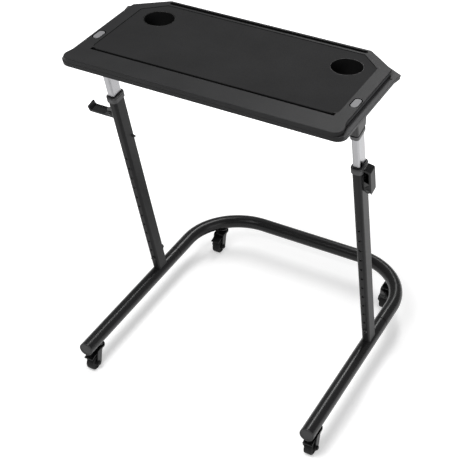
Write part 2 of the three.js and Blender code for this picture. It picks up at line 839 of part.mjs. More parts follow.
function casterFork() {
  const side = outline([
    [fork.crownBack, fork.crownTop - fork.crownRim, fork.wall],
    [fork.crownBack, fork.crownTop, fork.wall / 2],
    [-fork.crownFront, fork.crownTop, fork.corner],
    [-fork.cheekFront, fork.cheekBottom, fork.corner],
    [-fork.cheekBack, fork.cheekBottom, fork.corner],
    [-fork.cheekTopBack, fork.crownTop - fork.crownRim, fork.corner],
  ], smallCornerSteps);
  const across = fork.halfWidth - fork.wall;
  const far = fork.cheekFront + overrun;
  const under = block(-across, across, -far, far, 0, fork.crownTop - fork.wall);
  const plan = outline([
    [fork.halfWidth, fork.crownBack, fork.halfWidth - fork.wall],
    [-fork.halfWidth, fork.crownBack, fork.halfWidth - fork.wall],
    [-fork.halfWidth, -far],
    [fork.halfWidth, -far],
  ], smallCornerSteps);
  const cup = upright(circle(race.radius, sides.cap), fork.crownTop - fork.wall / 2, raceTop);
  const pin = alongX(circle(pedal.pinRadius, sides.pin), -across - seat, across + seat);
  const bore = upright(circle(stem.radius + seat, sides.pin), pedal.pivotHeight, caster.height);
  const axleBore = alongX(circle(axle.radius + seat, sides.pin), -fork.halfWidth - overrun,
    fork.halfWidth + overrun);
  return alongX(side, -fork.halfWidth, fork.halfWidth)
    .subtract(under)
    .intersect(upright(plan, 0, caster.height))
    .add(cup)
    .subtract(bore)
    .add(moved(pin, 0, -pedal.pivotSetback, pedal.pivotHeight))
    .subtract(moved(axleBore, 0, -caster.trail, wheel.radius));
}

function casterStem() {
  const under = fork.crownTop - fork.wall - seat;
  const profile = [
    [0, under - stem.headHeight],
    [stem.headRadius, under - stem.headHeight],
    [stem.headRadius, under],
    [stem.radius, under],
    [stem.radius, raceTop + seat],
    [race.radius, raceTop + seat],
    [race.radius, raceTop + race.wall / 2],
    [stem.flangeRadius, caster.height - seat],
    [stem.radius, caster.height - seat],
    [stem.radius, caster.height + stem.rise],
    [0, caster.height + stem.rise],
  ];
  return turned(profile, sides.pin);
}

// The pedal with its pad on the tread; the toe reaches forward over the wheel
const pedalEyeShares = { from: -0.33, to: 0.55 }; // of half a turn, from the backward direction

function brakePedal() {
  const y = -pedal.pivotSetback;
  const z = pedal.pivotHeight;
  const { from, to } = pedalEyeShares;
  const eye = arc(
    y, z, pedal.eyeRadius, pedal.eyeRadius, from * halfTurn, to * halfTurn, 2 * cornerSteps,
  );
  const side = [
    ...eye,
    new THREE.Vector2(-fork.cheekFront, z + pedal.wall),
    new THREE.Vector2(-pedal.reach, pedal.toeHeight + pedal.wall / 2),
    new THREE.Vector2(-pedal.reach, pedal.toeHeight - pedal.wall / 2),
    new THREE.Vector2(-fork.cheekFront, z),
  ];
  const arm = alongX(side, -pedal.halfWidth, pedal.halfWidth);
  const treadRoom = alongX(circle(wheelFlat + seat, sides.wheel, -caster.trail, wheel.radius),
    -pedal.halfWidth - overrun, pedal.halfWidth + overrun);
  const padSide = rectangle(-caster.trail - pedal.padWidth / 2, -caster.trail + pedal.padWidth / 2,
    2 * wheel.radius - seat, z + pedal.wall / 2);
  const pad = alongX(padSide, -wheel.halfWidth + wheel.edge, wheel.halfWidth - wheel.edge);
  const bore = alongX(circle(pedal.pinRadius + seat, sides.pin), -pedal.halfWidth - overrun,
    pedal.halfWidth + overrun);
  return arm.add(pad).subtract(treadRoom).subtract(moved(bore, 0, y, z));
}

// Desktop

function topOutline(margin = 0) {
  const side = waist - margin;
  const corner = side + desk.cornerFlare;
  return bothHalves([
    [corner, -desk.front + margin, desk.frontRadius - margin],
    [corner, -desk.flareFront],
    [side, -desk.flareBack],
    [side, -desk.chamferFront, desk.cornerRadius],
    [chamferEnd - margin / 2, desk.back - margin, desk.cornerRadius],
  ]);
}

function matOutline(clearance) {
  const half = matHalfWidth + clearance;
  return bothHalves([
    [half, -mat.front - clearance, mat.frontRadius],
    [half, -mat.chamferFront, mat.cornerRadius],
    [matHalfWidth - mat.chamferAcross, -mat.back + clearance, mat.cornerRadius],
  ]);
}

function cupCutter(radius, from, to, side) {
  return moved(upright(circle(radius, sides.cup), from, to), side * cupAcross, -cup.setback, 0);
}

// A cutter or plug along the leaning leg, in the desktop's upright frame
function leaning(made, side) {
  return moved(turnedAbout(made, leanDegrees, 0, 0), side * base.halfSpan, 0, axisHeight);
}

const legsOut = [-1, 1];
const lozengeBack = legPlace(deskHeight);

function topShell() {
  const bottom = deskHeight - desk.shellHeight;
  const channelBack = -mat.front - seat;
  const channelFront = channelBack - channel.width;
  const slotFront = -deviceSlot.front;
  const slotBack = slotFront + deviceSlot.width;
  let cavity = upright(topOutline(desk.wall), bottom - overrun, plateUnderside);
  const rib = (halfWidth, front, back, floor, wall) => block(
    -halfWidth - wall, halfWidth + wall, front - wall, back + wall,
    floor, plateUnderside + overrun,
  );
  cavity = cavity
    .subtract(rib(channelHalfWidth, channelFront, channelBack,
      deskHeight - channel.depth - channel.floor, channel.wall))
    .subtract(rib(deviceSlotHalfWidth, slotFront, slotBack,
      deskHeight - deviceSlot.depth - deviceSlot.floor, deviceSlot.wall));
  const above = deskHeight + overrun;
  const well = cup.radius + seat;
  let shell = domed(topOutline(), bottom, deskHeight, desk.edge).subtract(cavity);
  shell = shell
    .subtract(upright(matOutline(seat), recessFloor, above))
    .subtract(block(-channelHalfWidth, channelHalfWidth, channelFront, channelBack + seat,
      deskHeight - channel.depth, above))
    .subtract(block(-deviceSlotHalfWidth, deviceSlotHalfWidth, slotFront, slotBack,
      deskHeight - deviceSlot.depth, above));
  legsOut.forEach((side) => {
    const opening = oval(lozenge.width + 2 * lozenge.rim, lozenge.depth + 2 * lozenge.rim,
      lozenge.width / 2 + lozenge.rim);
    shell = shell
      .subtract(cupCutter(well, bottom - overrun, above, side))
      .subtract(moved(upright(opening, plateUnderside - overrun, above),
        side * base.halfSpan, lozengeBack, 0));
  });
  return shell;
}

function bottomPan() {
  const top = deskUnderside + pan.height;
  const outside = bothHalves([
    [panHalfWidth, -pan.front, pan.frontRadius],
    [panHalfWidth, -pan.blockFront],
    [panHalfWidth + pan.blockReach, -pan.blockBack, pan.blockCorner],
    [chamferEnd + pan.backReach, desk.back, pan.blockCorner],
  ]);
  const insideWidth = panHalfWidth - pan.rimWall;
  const insideWalls = bothHalves([
    [insideWidth, -pan.front + pan.rimWall, pan.frontRadius - pan.rimWall],
    [insideWidth, desk.back],
  ]);
  const room = upright(topOutline(pan.rimWall), deskUnderside + pan.floor, top + overrun)
    .intersect(upright(insideWalls, deskUnderside, top + 2 * overrun));
  let tray = upright(outside, deskUnderside, top).subtract(room);
  const well = cup.radius + seat;
  legsOut.forEach((side) => {
    const edges = [waist, panHalfWidth - pan.shelf].map((edge) => side * edge);
    const recess = block(Math.min(...edges), Math.max(...edges), -desk.flareBack, -pan.blockFront,
      top - pan.recessDepth, top + overrun);
    const through = upright(oval(innerWidth + 2 * running, innerDepth + 2 * running, innerCorner),
      ringBottom, innerTop + overrun);
    tray = tray
      .subtract(recess)
      .subtract(cupCutter(well, deskUnderside - overrun, top + overrun, side))
      .subtract(leaning(through, side));
  });
  return tray;
}

function deskMat() {
  const bottom = matTop - mat.thickness;
  let sheet = upright(matOutline(0), bottom, matTop);
  legsOut.forEach((side) => {
    sheet = sheet.subtract(cupCutter(cup.radius + seat, bottom - overrun, matTop + overrun, side));
  });
  return sheet;
}

function cupLiner() {
  const bottom = matTop - cup.depth;
  const inside = cup.radius - cup.wall;
  const profile = [
    [0, bottom],
    [cup.radius - cup.corner, bottom],
    [cup.radius, bottom + cup.corner],
    [cup.radius, matTop],
    [inside, matTop],
    [inside, bottom + cup.corner],
    [inside - cup.corner + cup.wall, bottom + cup.wall],
    [0, bottom + cup.wall],
  ];
  return moved(turned(profile, sides.cup), cupAcross, -cup.setback, 0);
}

function tubeCap() {
  const cover = moved(
    upright(oval(lozenge.width, lozenge.depth, lozenge.width / 2), plateUnderside, deskHeight),
    base.halfSpan, lozengeBack, 0,
  );
  const plug = upright(oval(lozenge.plugWidth, lozenge.plugDepth, lozenge.plugWidth / 2 - running),
    innerTop - lozenge.plugLength, innerTop + overrun);
  const ceiling = block(base.halfSpan - leg.width, base.halfSpan + leg.width,
    lozengeBack - leg.depth, lozengeBack + leg.depth,
    plateUnderside + seat, deskHeight + overrun);
  return cover.add(leaning(plug, 1).subtract(ceiling));
}

// The socket: a leaning front edge, an upright back edge and a flange under the pan
function legSocket() {
  const half = leg.depth / 2 + socket.wall / 2 - seat;
  const foot = ringTop + socket.shadowGap;
  const bottomBack = new THREE.Vector2(half, foot).rotateAround(new THREE.Vector2(), lean);
  const bottomFront = new THREE.Vector2(-half, foot).rotateAround(new THREE.Vector2(), lean);
  const top = deskUnderside - seat;
  const flangeBottom = top - socket.flangeWall;
  bottomBack.y += axisHeight;
  bottomFront.y += axisHeight;
  const topFront = bottomFront.x - (top - bottomFront.y) * Math.tan(lean);
  const side = [
    bottomFront,
    bottomBack,
    new THREE.Vector2(bottomBack.x, flangeBottom + seat),
    new THREE.Vector2(topFront, flangeBottom + seat),
  ];
  const width = leg.width / 2;
  const body = alongX(side, base.halfSpan - width, base.halfSpan + width);
  const rim = socket.flangeRim;
  const centre = (topFront + bottomBack.x) / 2;
  const flange = upright(
    oval(
      leg.width + 2 * rim, bottomBack.x - topFront + 2 * rim, socket.flangeCorner, smallCornerSteps,
    ),
    flangeBottom, top,
  );
  const bore = upright(oval(innerWidth + 2 * seat, innerDepth + 2 * seat, innerCorner + seat),
    ringBottom, innerTop);
  return body.add(moved(flange, base.halfSpan, centre, 0)).subtract(leaning(bore, 1));
}

function socketRing() {
  const depth = leg.depth + socket.wall - 2 * seat;
  const bore = oval(innerWidth + 2 * seat, innerDepth + 2 * seat, innerCorner + seat);
  return upright(oval(leg.width, depth, leg.cornerRadius), ringBottom, ringTop, [bore]);
}

// Assembly

const model = new THREE.Group();
model.add(piece("rear_tube", rearTube(), blackPaint));
model.add(piece("top_shell", topShell(), deskPlastic));
model.add(piece("bottom_pan", bottomPan(), panPlastic));
model.add(piece("mat", deskMat(), matRubber));

// Pieces of one side, drawn for the right and mirrored for the left
function sidePieces(name, openShare) {
  const side = new THREE.Group();
  const add = (group, label, made, material) => group.add(piece(label + "_" + name, made, material));
  add(side, "side_tube", sideTube(), blackPaint);
  add(side, "joint_sleeve", jointSleeve(), blackSteel);
  add(side, "end_cap", tubeEndCap(), capPlastic);
  add(side, "cup_liner", cupLiner(), wellPlastic);
  add(side, "tube_cap", tubeCap(), lozengePlastic);
  add(side, "leg_socket", legSocket(), socketPaint);

  const legGroup = new THREE.Group();
  legGroup.position.set(base.halfSpan, 0, axisHeight);
  legGroup.rotation.x = lean;
  add(legGroup, "leg_stub", legStub(), blackSteel);
  add(legGroup, "leg_tube", legTube(), blackPaint);
  add(legGroup, "foot_bolt", legFootBolt(), blackSteel);
  add(legGroup, "foot_nut", legFootNut(), blackSteel);
  add(legGroup, "collar", legCollar(), collarPlastic);
  add(legGroup, "stop_pin", legStopPin(), blackSteel);
  add(legGroup, "inner_tube", innerTube(), bright);
  add(legGroup, "socket_ring", socketRing(), ringPlastic);
  side.add(legGroup);

  const latchGroup = new THREE.Group();
  latchGroup.position.set(pinOut, 0, latchHeight);
  add(latchGroup, "latch_base", latchBase(), blackSteel);
  add(latchGroup, "latch_pin", latchHingePin(), bright);
  const shoePiece = piece("latch_shoe_" + name, latchShoe(), capPlastic);
  const leverPiece = piece("latch_lever_" + name, latchLever(), blackPaint);
  shoePiece.position.x = (cam.clampedRadius - cam.freeRadius) * openShare;
  leverPiece.rotation.y = (openShare * Math.PI) / 2;
  latchGroup.add(shoePiece, leverPiece);
  legGroup.add(latchGroup);

  Object.entries(casterPlaces).forEach(([end, place]) => {
    const casterGroup = new THREE.Group();
    casterGroup.position.set(place.x, place.y, 0);
    const label = end + "_" + name;
    casterGroup.add(piece("caster_stem_" + label, casterStem(), bright));
    casterGroup.add(piece("caster_fork_" + label, casterFork(), casterSteel));
    casterGroup.add(piece("caster_axle_" + label, casterAxle(), casterSteel));
    casterGroup.add(piece("caster_wheel_" + label, casterWheel(), tyreRubber));
    casterGroup.add(piece("brake_pedal_" + label, brakePedal(), casterSteel));
    side.add(casterGroup);
  });
  return side;
}

// The right lever is clamped and the left one open
const clampedShare = 0;
const openedShare = 1;
const right = sidePieces("right", clampedShare);
const left = sidePieces("left", openedShare);
left.scale.x = -1;
model.add(right, left);

// The frame's origin is on the floor, below the middle of the whole part's box
const box = new THREE.Box3().setFromObject(model, true);
const middle = box.getCenter(new THREE.Vector3());
model.position.set(-middle.x, -middle.y, -box.min.z);

const part = new THREE.Group();
part.add(model);

export default part;
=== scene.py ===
from math import acos, atan2, cos, pi, radians, sin, sqrt, tan
from types import SimpleNamespace as Sizes

import bmesh
import bpy
from mathutils import Color, Matrix, Vector
from mathutils.geometry import tessellate_polygon


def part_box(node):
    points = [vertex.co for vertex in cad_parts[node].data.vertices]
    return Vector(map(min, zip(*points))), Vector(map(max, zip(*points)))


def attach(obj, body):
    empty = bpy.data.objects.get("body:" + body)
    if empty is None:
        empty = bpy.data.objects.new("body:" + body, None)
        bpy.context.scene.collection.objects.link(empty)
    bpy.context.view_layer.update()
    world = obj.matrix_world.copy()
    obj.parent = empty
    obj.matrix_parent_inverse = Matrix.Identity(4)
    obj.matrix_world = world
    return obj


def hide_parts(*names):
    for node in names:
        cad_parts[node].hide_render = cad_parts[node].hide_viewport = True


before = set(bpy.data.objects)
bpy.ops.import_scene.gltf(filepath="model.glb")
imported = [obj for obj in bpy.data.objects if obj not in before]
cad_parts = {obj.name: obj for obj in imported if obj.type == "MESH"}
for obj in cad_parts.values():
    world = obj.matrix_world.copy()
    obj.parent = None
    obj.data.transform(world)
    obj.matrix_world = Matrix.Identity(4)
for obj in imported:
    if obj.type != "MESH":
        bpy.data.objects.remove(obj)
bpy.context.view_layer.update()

# A millimetre in metres; then, in millimetres, the gaps of still and of moving pieces, how far
# a cutter reaches past what it cuts, the small edges, and how near points are taken as one
MM = 0.001
SEAT = 0.3
RUNNING = 1
PAST = 12
SOFT_EDGE = 0.5
FINE_EDGE = 0.25
SAME_PLACE = 0.003

# How far past an opening's edge a face still counts as lying in it, and so takes the painted shade
NEARBY = 1

# Steps of a full circle, of a rounded corner and of a bevel, and angles
ROUND_WIDE = 96
ROUND = 48
ROUND_FINE = 24
ARC = 8
BEVEL_STEPS = 2
BEVEL_FROM = radians(40)
SHARP_FROM = radians(32)
RIGHT, UP, LEFT, DOWN = 0, 90, 180, 270
QUARTER = [pi / 2 * k / ARC for k in range(ARC + 1)]

# The sizes of the part in millimetres, the same as in its solids apart from some edges and
# grooves, the near cheek of the latches and the screws
tube = Sizes(radius=22.5, wall=2)
base = Sizes(half_span=380, front=457, seam=95, rear=379, bend=195, seam_groove=1.3)
end_cap = Sizes(thickness=4, edge=2, dish=1.2, rim=4)
LEAN = radians(14.26)
leg = Sizes(width=27, depth=50, corner=9, wall=2, length=808.2)
index_hole = Sizes(radius=4, first=128, pitch=43.6, count=11)
bolt = Sizes(
    radius=4, height=84, head=7.4, head_height=5, dome_share=2 / 3, tail=12, chamfer=1, socket=3,
    socket_depth=3, socket_rim=1,
)
hex_nut = Sizes(radius=8, sides=6, height=8, washer=9, washer_height=1.2)
collar = Sizes(wall=3.5, height=20, lip=5, edge=1.5, groove=0.8, groove_height=1.6,
               tilt=radians(9))
stop_pin = Sizes(drop=178.2, setback=16, head=4, head_height=8, shank=2.5, tip=0.6)
inner = Sizes(wall=2, overlap=377.5)
guide_slot = Sizes(width=8.5, setback=10, above=21.5, length=190, end=2)
travel = Sizes(down=100, up=190)
latch = Sizes(
    drop=75.2, standoff=13.4, plate=2, below=8, above=52, plate_corner=4, cheek=2, cheek_half=12.7,
    cheek_above=48, cheek_shoulder=40, near_cheek=30, eye=6.5, eye_start=-50, rivet=3,
    rivet_height=1.2, rivet_places=(31, 44),
)
lever = Sizes(
    wall=2, web=2.5, offset=11.1, rail=6, reach=72, hook_rise=4.5, hook_depth=19, hook_wall=6,
    tip=1.5, nose=10.4, web_start=12,
)
cam = Sizes(clamped=9, free=8, back=165)
latch_pin = Sizes(radius=3, head=4.5, head_height=1.5)
shoe = Sizes(half_height=6, lip=1.5, lip_wall=1.3)
caster = Sizes(height=81.5, front_setback=71, rear_place=325, trail=33)
wheel = Sizes(radius=26, half_width=13, edge=4, dish=3, rim=6, hub=9, hub_half=15.5, groove=0.7)
axle = Sizes(radius=4, cap=7.5, cap_height=6, dome_share=2 / 3)
fork = Sizes(
    half_width=19, wall=2.5, crown_top=74, crown_back=17, crown_front=33, crown_rim=6,
    cheek_top_back=10, cheek_back=20, cheek_front=43, cheek_bottom=16, corner=7,
)
race = Sizes(radius=14.5, wall=2.5)
stem = Sizes(radius=5, rise=22, chamfer=1, flange=11, head=9, head_height=3)
pedal = Sizes(
    setback=19, height=61, pin=2.5, eye=5, eye_start=-60, eye_stop=100, half_width=15, reach=62,
    toe=57, wall=3, pad=8, ridge=0.7, ridge_width=1.4, ridge_count=4,
)
desk = Sizes(
    beyond_legs=16, flare=8, front=407, back=12, flare_front=378, flare_back=342, chamfer_front=57,
    chamfer_across=87.4, front_radius=24, flare_front_radius=12, flare_back_radius=20, corner=8,
    shell=14, plate=6.5, wall=3, edge=2.4, draft=2.2,
)
mat = Sizes(
    beside_legs=20, front=323, back=17, chamfer_front=71, chamfer_across=58, front_radius=16,
    corner=5, thickness=1.8, inset=1.7,
)
channel = Sizes(end_inset=4, width=11.5, depth=7, floor=2.5, wall=2.5)
slot = Sizes(end_inset=4.6, width=12.5, front=9.5, depth=10, floor=2.5, wall=2.5)
cup = Sizes(inset=75, setback=96, radius=45, depth=56, wall=2, corner=6)
cap = Sizes(width=19, depth=42, rim=3)
pan = Sizes(
    height=13.7, floor=2.5, flange=18, shelf=8, recess=3, block_reach=5, block_front=77,
    block_back=49, block_corner=4, block_foot=6, front=402.5, front_radius=30, band_share=1 / 3,
    back_reach=3.4, rim=3, edge=1.2,
)
ring = Sizes(height=10.7)
socket = Sizes(
    wall=3, gap_below=112.5, length=94.5, shadow_gap=1.5, edge=6, flange=4, flange_rim=13,
    flange_corner=8,
)
screw = Sizes(
    radius=3.6, height=2.4, cross=4.6, cross_width=1.1, cross_depth=1.4, rim=17, spread_share=0.3,
    fore_share=1 / 3,
)

# Places that follow from the sizes
axis_height = caster.height + tube.radius
inner_width = leg.width - 2 * (leg.wall + RUNNING)
inner_depth = leg.depth - 2 * (leg.wall + RUNNING)
inner_corner = leg.corner - leg.wall - RUNNING
LEG_OVAL = (leg.width, leg.depth, leg.corner)
INNER_OVAL = (inner_width, inner_depth, inner_corner)
CAP_OVAL = (cap.width, cap.depth, (cap.width - SEAT) / 2)
collar_top = leg.length + SEAT + collar.lip
latch_height = leg.length - latch.drop
stop_height = leg.length - stop_pin.drop
ring_bottom = collar_top + socket.gap_below
ring_top = ring_bottom + ring.height
inner_top = ring_bottom + socket.length
plate_foot = axis_height + RUNNING + inner_top * cos(LEAN) + inner_depth / 2 * sin(LEAN)
desk_height = plate_foot + desk.plate
waist = base.half_span + desk.beyond_legs
chamfer_end = waist - desk.chamfer_across
mat_half = base.half_span - mat.beside_legs
channel_half = mat_half - channel.end_inset
slot_half = chamfer_end - slot.end_inset
cup_across = mat_half - cup.inset
pan_half = waist + pan.flange
desk_foot = desk_height - desk.shell - SEAT - pan.height
mat_top = desk_height - mat.inset
recess_floor = mat_top - mat.thickness - SEAT
inner_bottom = leg.length - inner.overlap
pin_out = leg.width / 2 + latch.standoff
plate_in = -latch.standoff + SEAT
plate_out = plate_in + latch.plate
shoe_half = latch.cheek_half - latch.cheek - SEAT
lever_half = latch.cheek_half + SEAT + lever.wall
race_top = caster.height - 2 * SEAT - race.wall
cap_back = -(desk_height - axis_height) * tan(LEAN)
lift = sqrt(base.bend ** 2 - (caster.rear_place - base.rear + base.bend) ** 2)
caster_places = {
    "front": (base.half_span, -base.front + caster.front_setback),
    "rear": (base.half_span - base.bend + lift, caster.rear_place),
}

# The frame's own origin, found from where the mat lies in it, and the drawings' places in it
mat_low, mat_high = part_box("mat")
origin = Vector(((mat_low[0] + mat_high[0]) / 2, mat_high[1] + mat.back * MM, 0))
TO_FRAME = Matrix.Translation(origin) @ Matrix.Scale(MM, 4)
SIDES = {"right": Matrix(), "left": Matrix.Scale(-1, 4, Vector((1, 0, 0)))}
LEANING = Matrix.Rotation(LEAN, 4, "X")
UPRIGHT = LEANING.inverted()
LEG = Matrix.Translation((base.half_span, 0, axis_height)) @ LEANING
LATCH = LEG @ Matrix.Translation((pin_out, 0, latch_height))


# Outlines
def ways(corners):
    """The ways in which an outline comes to each of its corners and goes on from it."""
    places = [Vector(corner[:2]) for corner in corners]
    sides = [(after - here).normalized() for here, after in zip(places, places[1:] + places[:1])]
    return zip(sides[-1:] + sides[:-1], sides)


def rounded(corners):
    """The points round an outline, given as corners (x, y, radius)."""
    points = []
    for (x, y, radius), (coming, going) in zip(corners, ways(corners)):
        here = Vector((x, y))
        if radius <= 0:
            points.append(here)
            continue
        half = acos(-going.dot(coming)) / 2
        centre = here + (going - coming).normalized() * radius / sin(half)
        start = here - coming * radius / tan(half) - centre
        stop = here + going * radius / tan(half) - centre
        first = atan2(start.y, start.x)
        sweep = atan2(stop.y, stop.x) - first
        sweep -= 2 * pi * round(sweep / (2 * pi))
        turns = [first + sweep * k / ARC for k in range(ARC + 1)]
        points += [centre + Vector((cos(a), sin(a))) * radius for a in turns]
    return points


def inset(corners, margin):
    """The same corners, moved in by a margin; outlines run anticlockwise."""
    moved = []
    for (x, y, radius), (coming, going) in zip(corners, ways(corners)):
        first = Vector((-coming.y, coming.x))
        second = Vector((-going.y, going.x))
        shift = (first + second) * margin / (1 + first.dot(second))
        kept = radius - margin if coming.cross(going) > 0 else radius + margin
        moved.append((x + shift.x, y + shift.y, max(kept, SEAT / 2) if radius > 0 else 0))
    return moved


def shrunk(corners, margin):
    return rounded(inset(corners, margin))


def box_corners(x0, x1, y0, y1, radius=0):
    return [(x0, y0, radius), (x1, y0, radius), (x1, y1, radius), (x0, y1, radius)]


def rectangle(*sides):
    return rounded(box_corners(*sides))


def oval_corners(width, depth, radius, margin=0):
    across = width / 2 + margin
    fore = depth / 2 + margin
    return box_corners(-across, across, -fore, fore, radius + margin)


def oval(*sizes):
    return rounded(oval_corners(*sizes))


def circle(radius, count=ROUND, x=0, y=0):
    turns = [2 * pi * k / count for k in range(count)]
    return [(x + radius * cos(a), y + radius * sin(a)) for a in turns]


def arc(radius, start, stop, x=0, y=0, last=None):
    """Points on an arc, from and to an angle in degrees; its radius may change to a last one."""
    points = []
    for k in range(2 * ARC + 1):
        share = k / (2 * ARC)
        angle = radians(start + (stop - start) * share)
        here = radius + ((last or radius) - radius) * share
        points.append((x + here * cos(angle), y + here * sin(angle)))
    return points


def quarter(x, y, across, rise):
    """A quarter of an oval about a point, from its top round to its side."""
    return [(x + across * sin(a), y + rise * cos(a)) for a in QUARTER]


def dome(radius, height, start):
    """The profile of a rounded end, from its foot to its top."""
    return quarter(0, start, radius, height)[::-1]


def both_halves(corners):
    """A symmetrical outline, from the corners of its right half in order from front to back."""
    return corners + [(-x, y, radius) for x, y, radius in reversed(corners)]


def both_ends(profile):
    """A symmetrical profile, from the points (radius, place) of its upper half."""
    return [(radius, -place) for radius, place in reversed(profile)] + profile


# Solids made from outlines
def along(axis, a, b, height):
    """A point of a drawing, as it lies when the drawing is raised along an axis."""
    return {"x": (height, a, b), "y": (a, height, b), "z": (a, b, height)}[axis]


def in_scene(name, data):
    made = bpy.data.objects.new(name, data)
    bpy.context.scene.collection.objects.link(made)
    return made


def thing(vertices, faces):
    mesh = bpy.data.meshes.new("shape")
    mesh.from_pydata(vertices, [], faces)
    tidy = bmesh.new()
    tidy.from_mesh(mesh)
    bmesh.ops.remove_doubles(tidy, verts=tidy.verts, dist=SAME_PLACE)
    bmesh.ops.recalc_face_normals(tidy, faces=tidy.faces)
    tidy.to_mesh(mesh)
    tidy.free()
    return in_scene("shape", mesh)


def cap_faces(loops, start):
    """Faces that fill an outline with holes; the loops' vertices are numbered from start."""
    if len(loops) == 1:
        return [range(start, start + len(loops[0]))]
    flat = [[Vector((x, y, 0)) for x, y in loop] for loop in loops]
    return [[start + i for i in face] for face in tessellate_polygon(flat)]


def prism(points, low, high, axis="z", holes=()):
    loops = [points, *holes]
    count = sum(len(loop) for loop in loops)
    vertices = [along(axis, x, y, h) for h in (low, high) for loop in loops for x, y in loop]
    faces = cap_faces(loops, 0) + cap_faces(loops, count)
    start = 0
    for loop in loops:
        for i in range(len(loop)):
            j = (i + 1) % len(loop)
            faces.append([start + i, start + j, count + start + j, count + start + i])
        start += len(loop)
    return thing(vertices, faces)


def loft(loops):
    """Closed loops of points in space, joined one to the next, with both ends filled."""
    count = len(loops[0])
    vertices = [p for loop in loops for p in loop]
    faces = [range(count), range(len(vertices) - count, len(vertices))]
    for level in range(len(loops) - 1):
        for i in range(count):
            j = (i + 1) % count
            here = level * count
            faces.append([here + i, here + j, here + count + j, here + count + i])
    return thing(vertices, faces)


def domed(corners, low, high, edge=SOFT_EDGE, foot_edge=0, axis="z", draft=0):
    """An outline drawn up, with its edges rounded; a draft makes it that much smaller below."""
    foot = quarter(draft + foot_edge, low + foot_edge, -foot_edge, -foot_edge)
    top = quarter(edge, high - edge, -edge, edge)[::-1]
    return loft([
        [along(axis, x, y, height) for x, y in shrunk(corners, margin)]
        for margin, height in (foot if foot_edge else foot[:1]) + top
    ])


def turned(profile, axis="z", count=ROUND_FINE):
    """A turned piece; the profile is a list of (radius, place along the axis)."""
    vertices = []
    rings = []
    for radius, height in profile:
        start = len(vertices)
        for k in range(count if radius else 1):
            angle = 2 * pi * (k + 1 / 2) / count
            vertices.append(along(axis, radius * cos(angle), radius * sin(angle), height))
        rings.append(range(start, len(vertices)))
    pairs = list(zip(rings, rings[1:]))
    if len(rings[0]) > 1:
        pairs.append((rings[-1], rings[0]))
    faces = []
    for a, b in pairs:
        for i in range(count):
            j = (i + 1) % count
            corners = [a[i % len(a)], a[j % len(a)], b[j % len(b)], b[i % len(b)]]
            faces.append(list(dict.fromkeys(corners)))
    return thing(vertices, [face for face in faces if len(face) > 2])


def block(x0, x1, y0, y1, z0, z1):
    return prism(rectangle(x0, x1, y0, y1), z0, z1)


def slab(points, half, axis):
    """A prism that reaches equally far both ways."""
    return prism(points, -half, half, axis)


def bore(radius, low, high, axis="z"):
    return prism(circle(radius, ROUND_FINE), low, high, axis)


def rod(radius, half, axis):
    return bore(radius, -half, half, axis)


def moved(made, matrix):
    made.data.transform(matrix)
    return made


def shifted(made, x, y, z):
    return moved(made, Matrix.Translation((x, y, z)))


def baked(made):
    depsgraph = bpy.context.evaluated_depsgraph_get()
    mesh = bpy.data.meshes.new_from_object(made.evaluated_get(depsgraph))
    made.modifiers.clear()
    made.data = mesh
    return made


def discard(*drawings):
    for one in drawings:
        bpy.data.objects.remove(one)


def combined(made, others, operation):
    for other in others:
        step = made.modifiers.new(operation, "BOOLEAN")
        step.operation = operation
        step.solver = "EXACT"
        step.object = other
    baked(made)
    discard(*others)
    return made


def cut(made, *others):
    return combined(made, others, "DIFFERENCE")


def joined(made, *others):
    return combined(made, others, "UNION")


def common(made, *others):
    return combined(made, others, "INTERSECT")


def bevelled(made, width=FINE_EDGE, segments=BEVEL_STEPS):
    step = made.modifiers.new("bevel", "BEVEL")
    step.width = width
    step.segments = segments
    step.limit_method = "ANGLE"
    step.angle_limit = BEVEL_FROM
    step.use_clamp_overlap = True
    return baked(made)


def put(made, name, body, node, finish, matrix=Matrix(), patches=()):
    """Takes a drawn shape into the frame as a piece, in place of a solid if it has one.

    Each patch is a finish and a test of a face's middle, in the drawing's own millimetres.
    """
    mesh = made.data.copy()
    mesh.transform(TO_FRAME @ matrix)
    shape = bmesh.new()
    shape.from_mesh(mesh)
    bmesh.ops.recalc_face_normals(shape, faces=shape.faces)
    for face in shape.faces:
        face.smooth = True
    for edge in shape.edges:
        edge.smooth = edge.is_manifold and edge.calc_face_angle(0) < SHARP_FROM
    shape.to_mesh(mesh)
    shape.free()
    mesh.materials.clear()
    mesh.materials.append(LOOKS[finish])
    for other, holds in patches:
        mesh.materials.append(LOOKS[other])
        for drawn, face in zip(made.data.polygons, mesh.polygons):
            if holds(drawn.center):
                face.material_index = len(mesh.materials) - 1
    piece = in_scene(name, mesh)
    even = piece.modifiers.new("even_shading", "WEIGHTED_NORMAL")
    even.keep_sharp = True
    baked(piece)
    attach(piece, body)
    if node:
        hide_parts(node)


def alone(made, name, body, node, finish, patches=()):
    """Puts a drawing that lies across the middle, and takes the drawing away."""
    put(made, name, body, node, finish, patches=patches)
    discard(made)


def both_sides(made, name, body, node, finish, matrix=Matrix()):
    """Puts a drawing of the right side there and, mirrored, on the left."""
    for side, mirror in SIDES.items():
        put(made, name + "_" + side, body, node + "_" + side, finish, mirror @ matrix)
    discard(made)


# Materials
BLOTCHES = 9
BLOTCH_DETAIL = 4
RAMP_SHARES = (0.3, 0.7)
COLOUR_SPREAD = 0.12
GLOSS_SPREAD = 0.08
COOL_SHARE = 1.03


def fed(tree, kind, *sources, operation=None, **values):
    """A new node: its first inputs are fed by the outputs given, others take plain values."""
    made = tree.nodes.new("ShaderNode" + kind)
    if operation:
        made.operation = operation
    for socket, source in zip(made.inputs, sources):
        tree.links.new(source, socket)
    fill(made, **values)
    return made


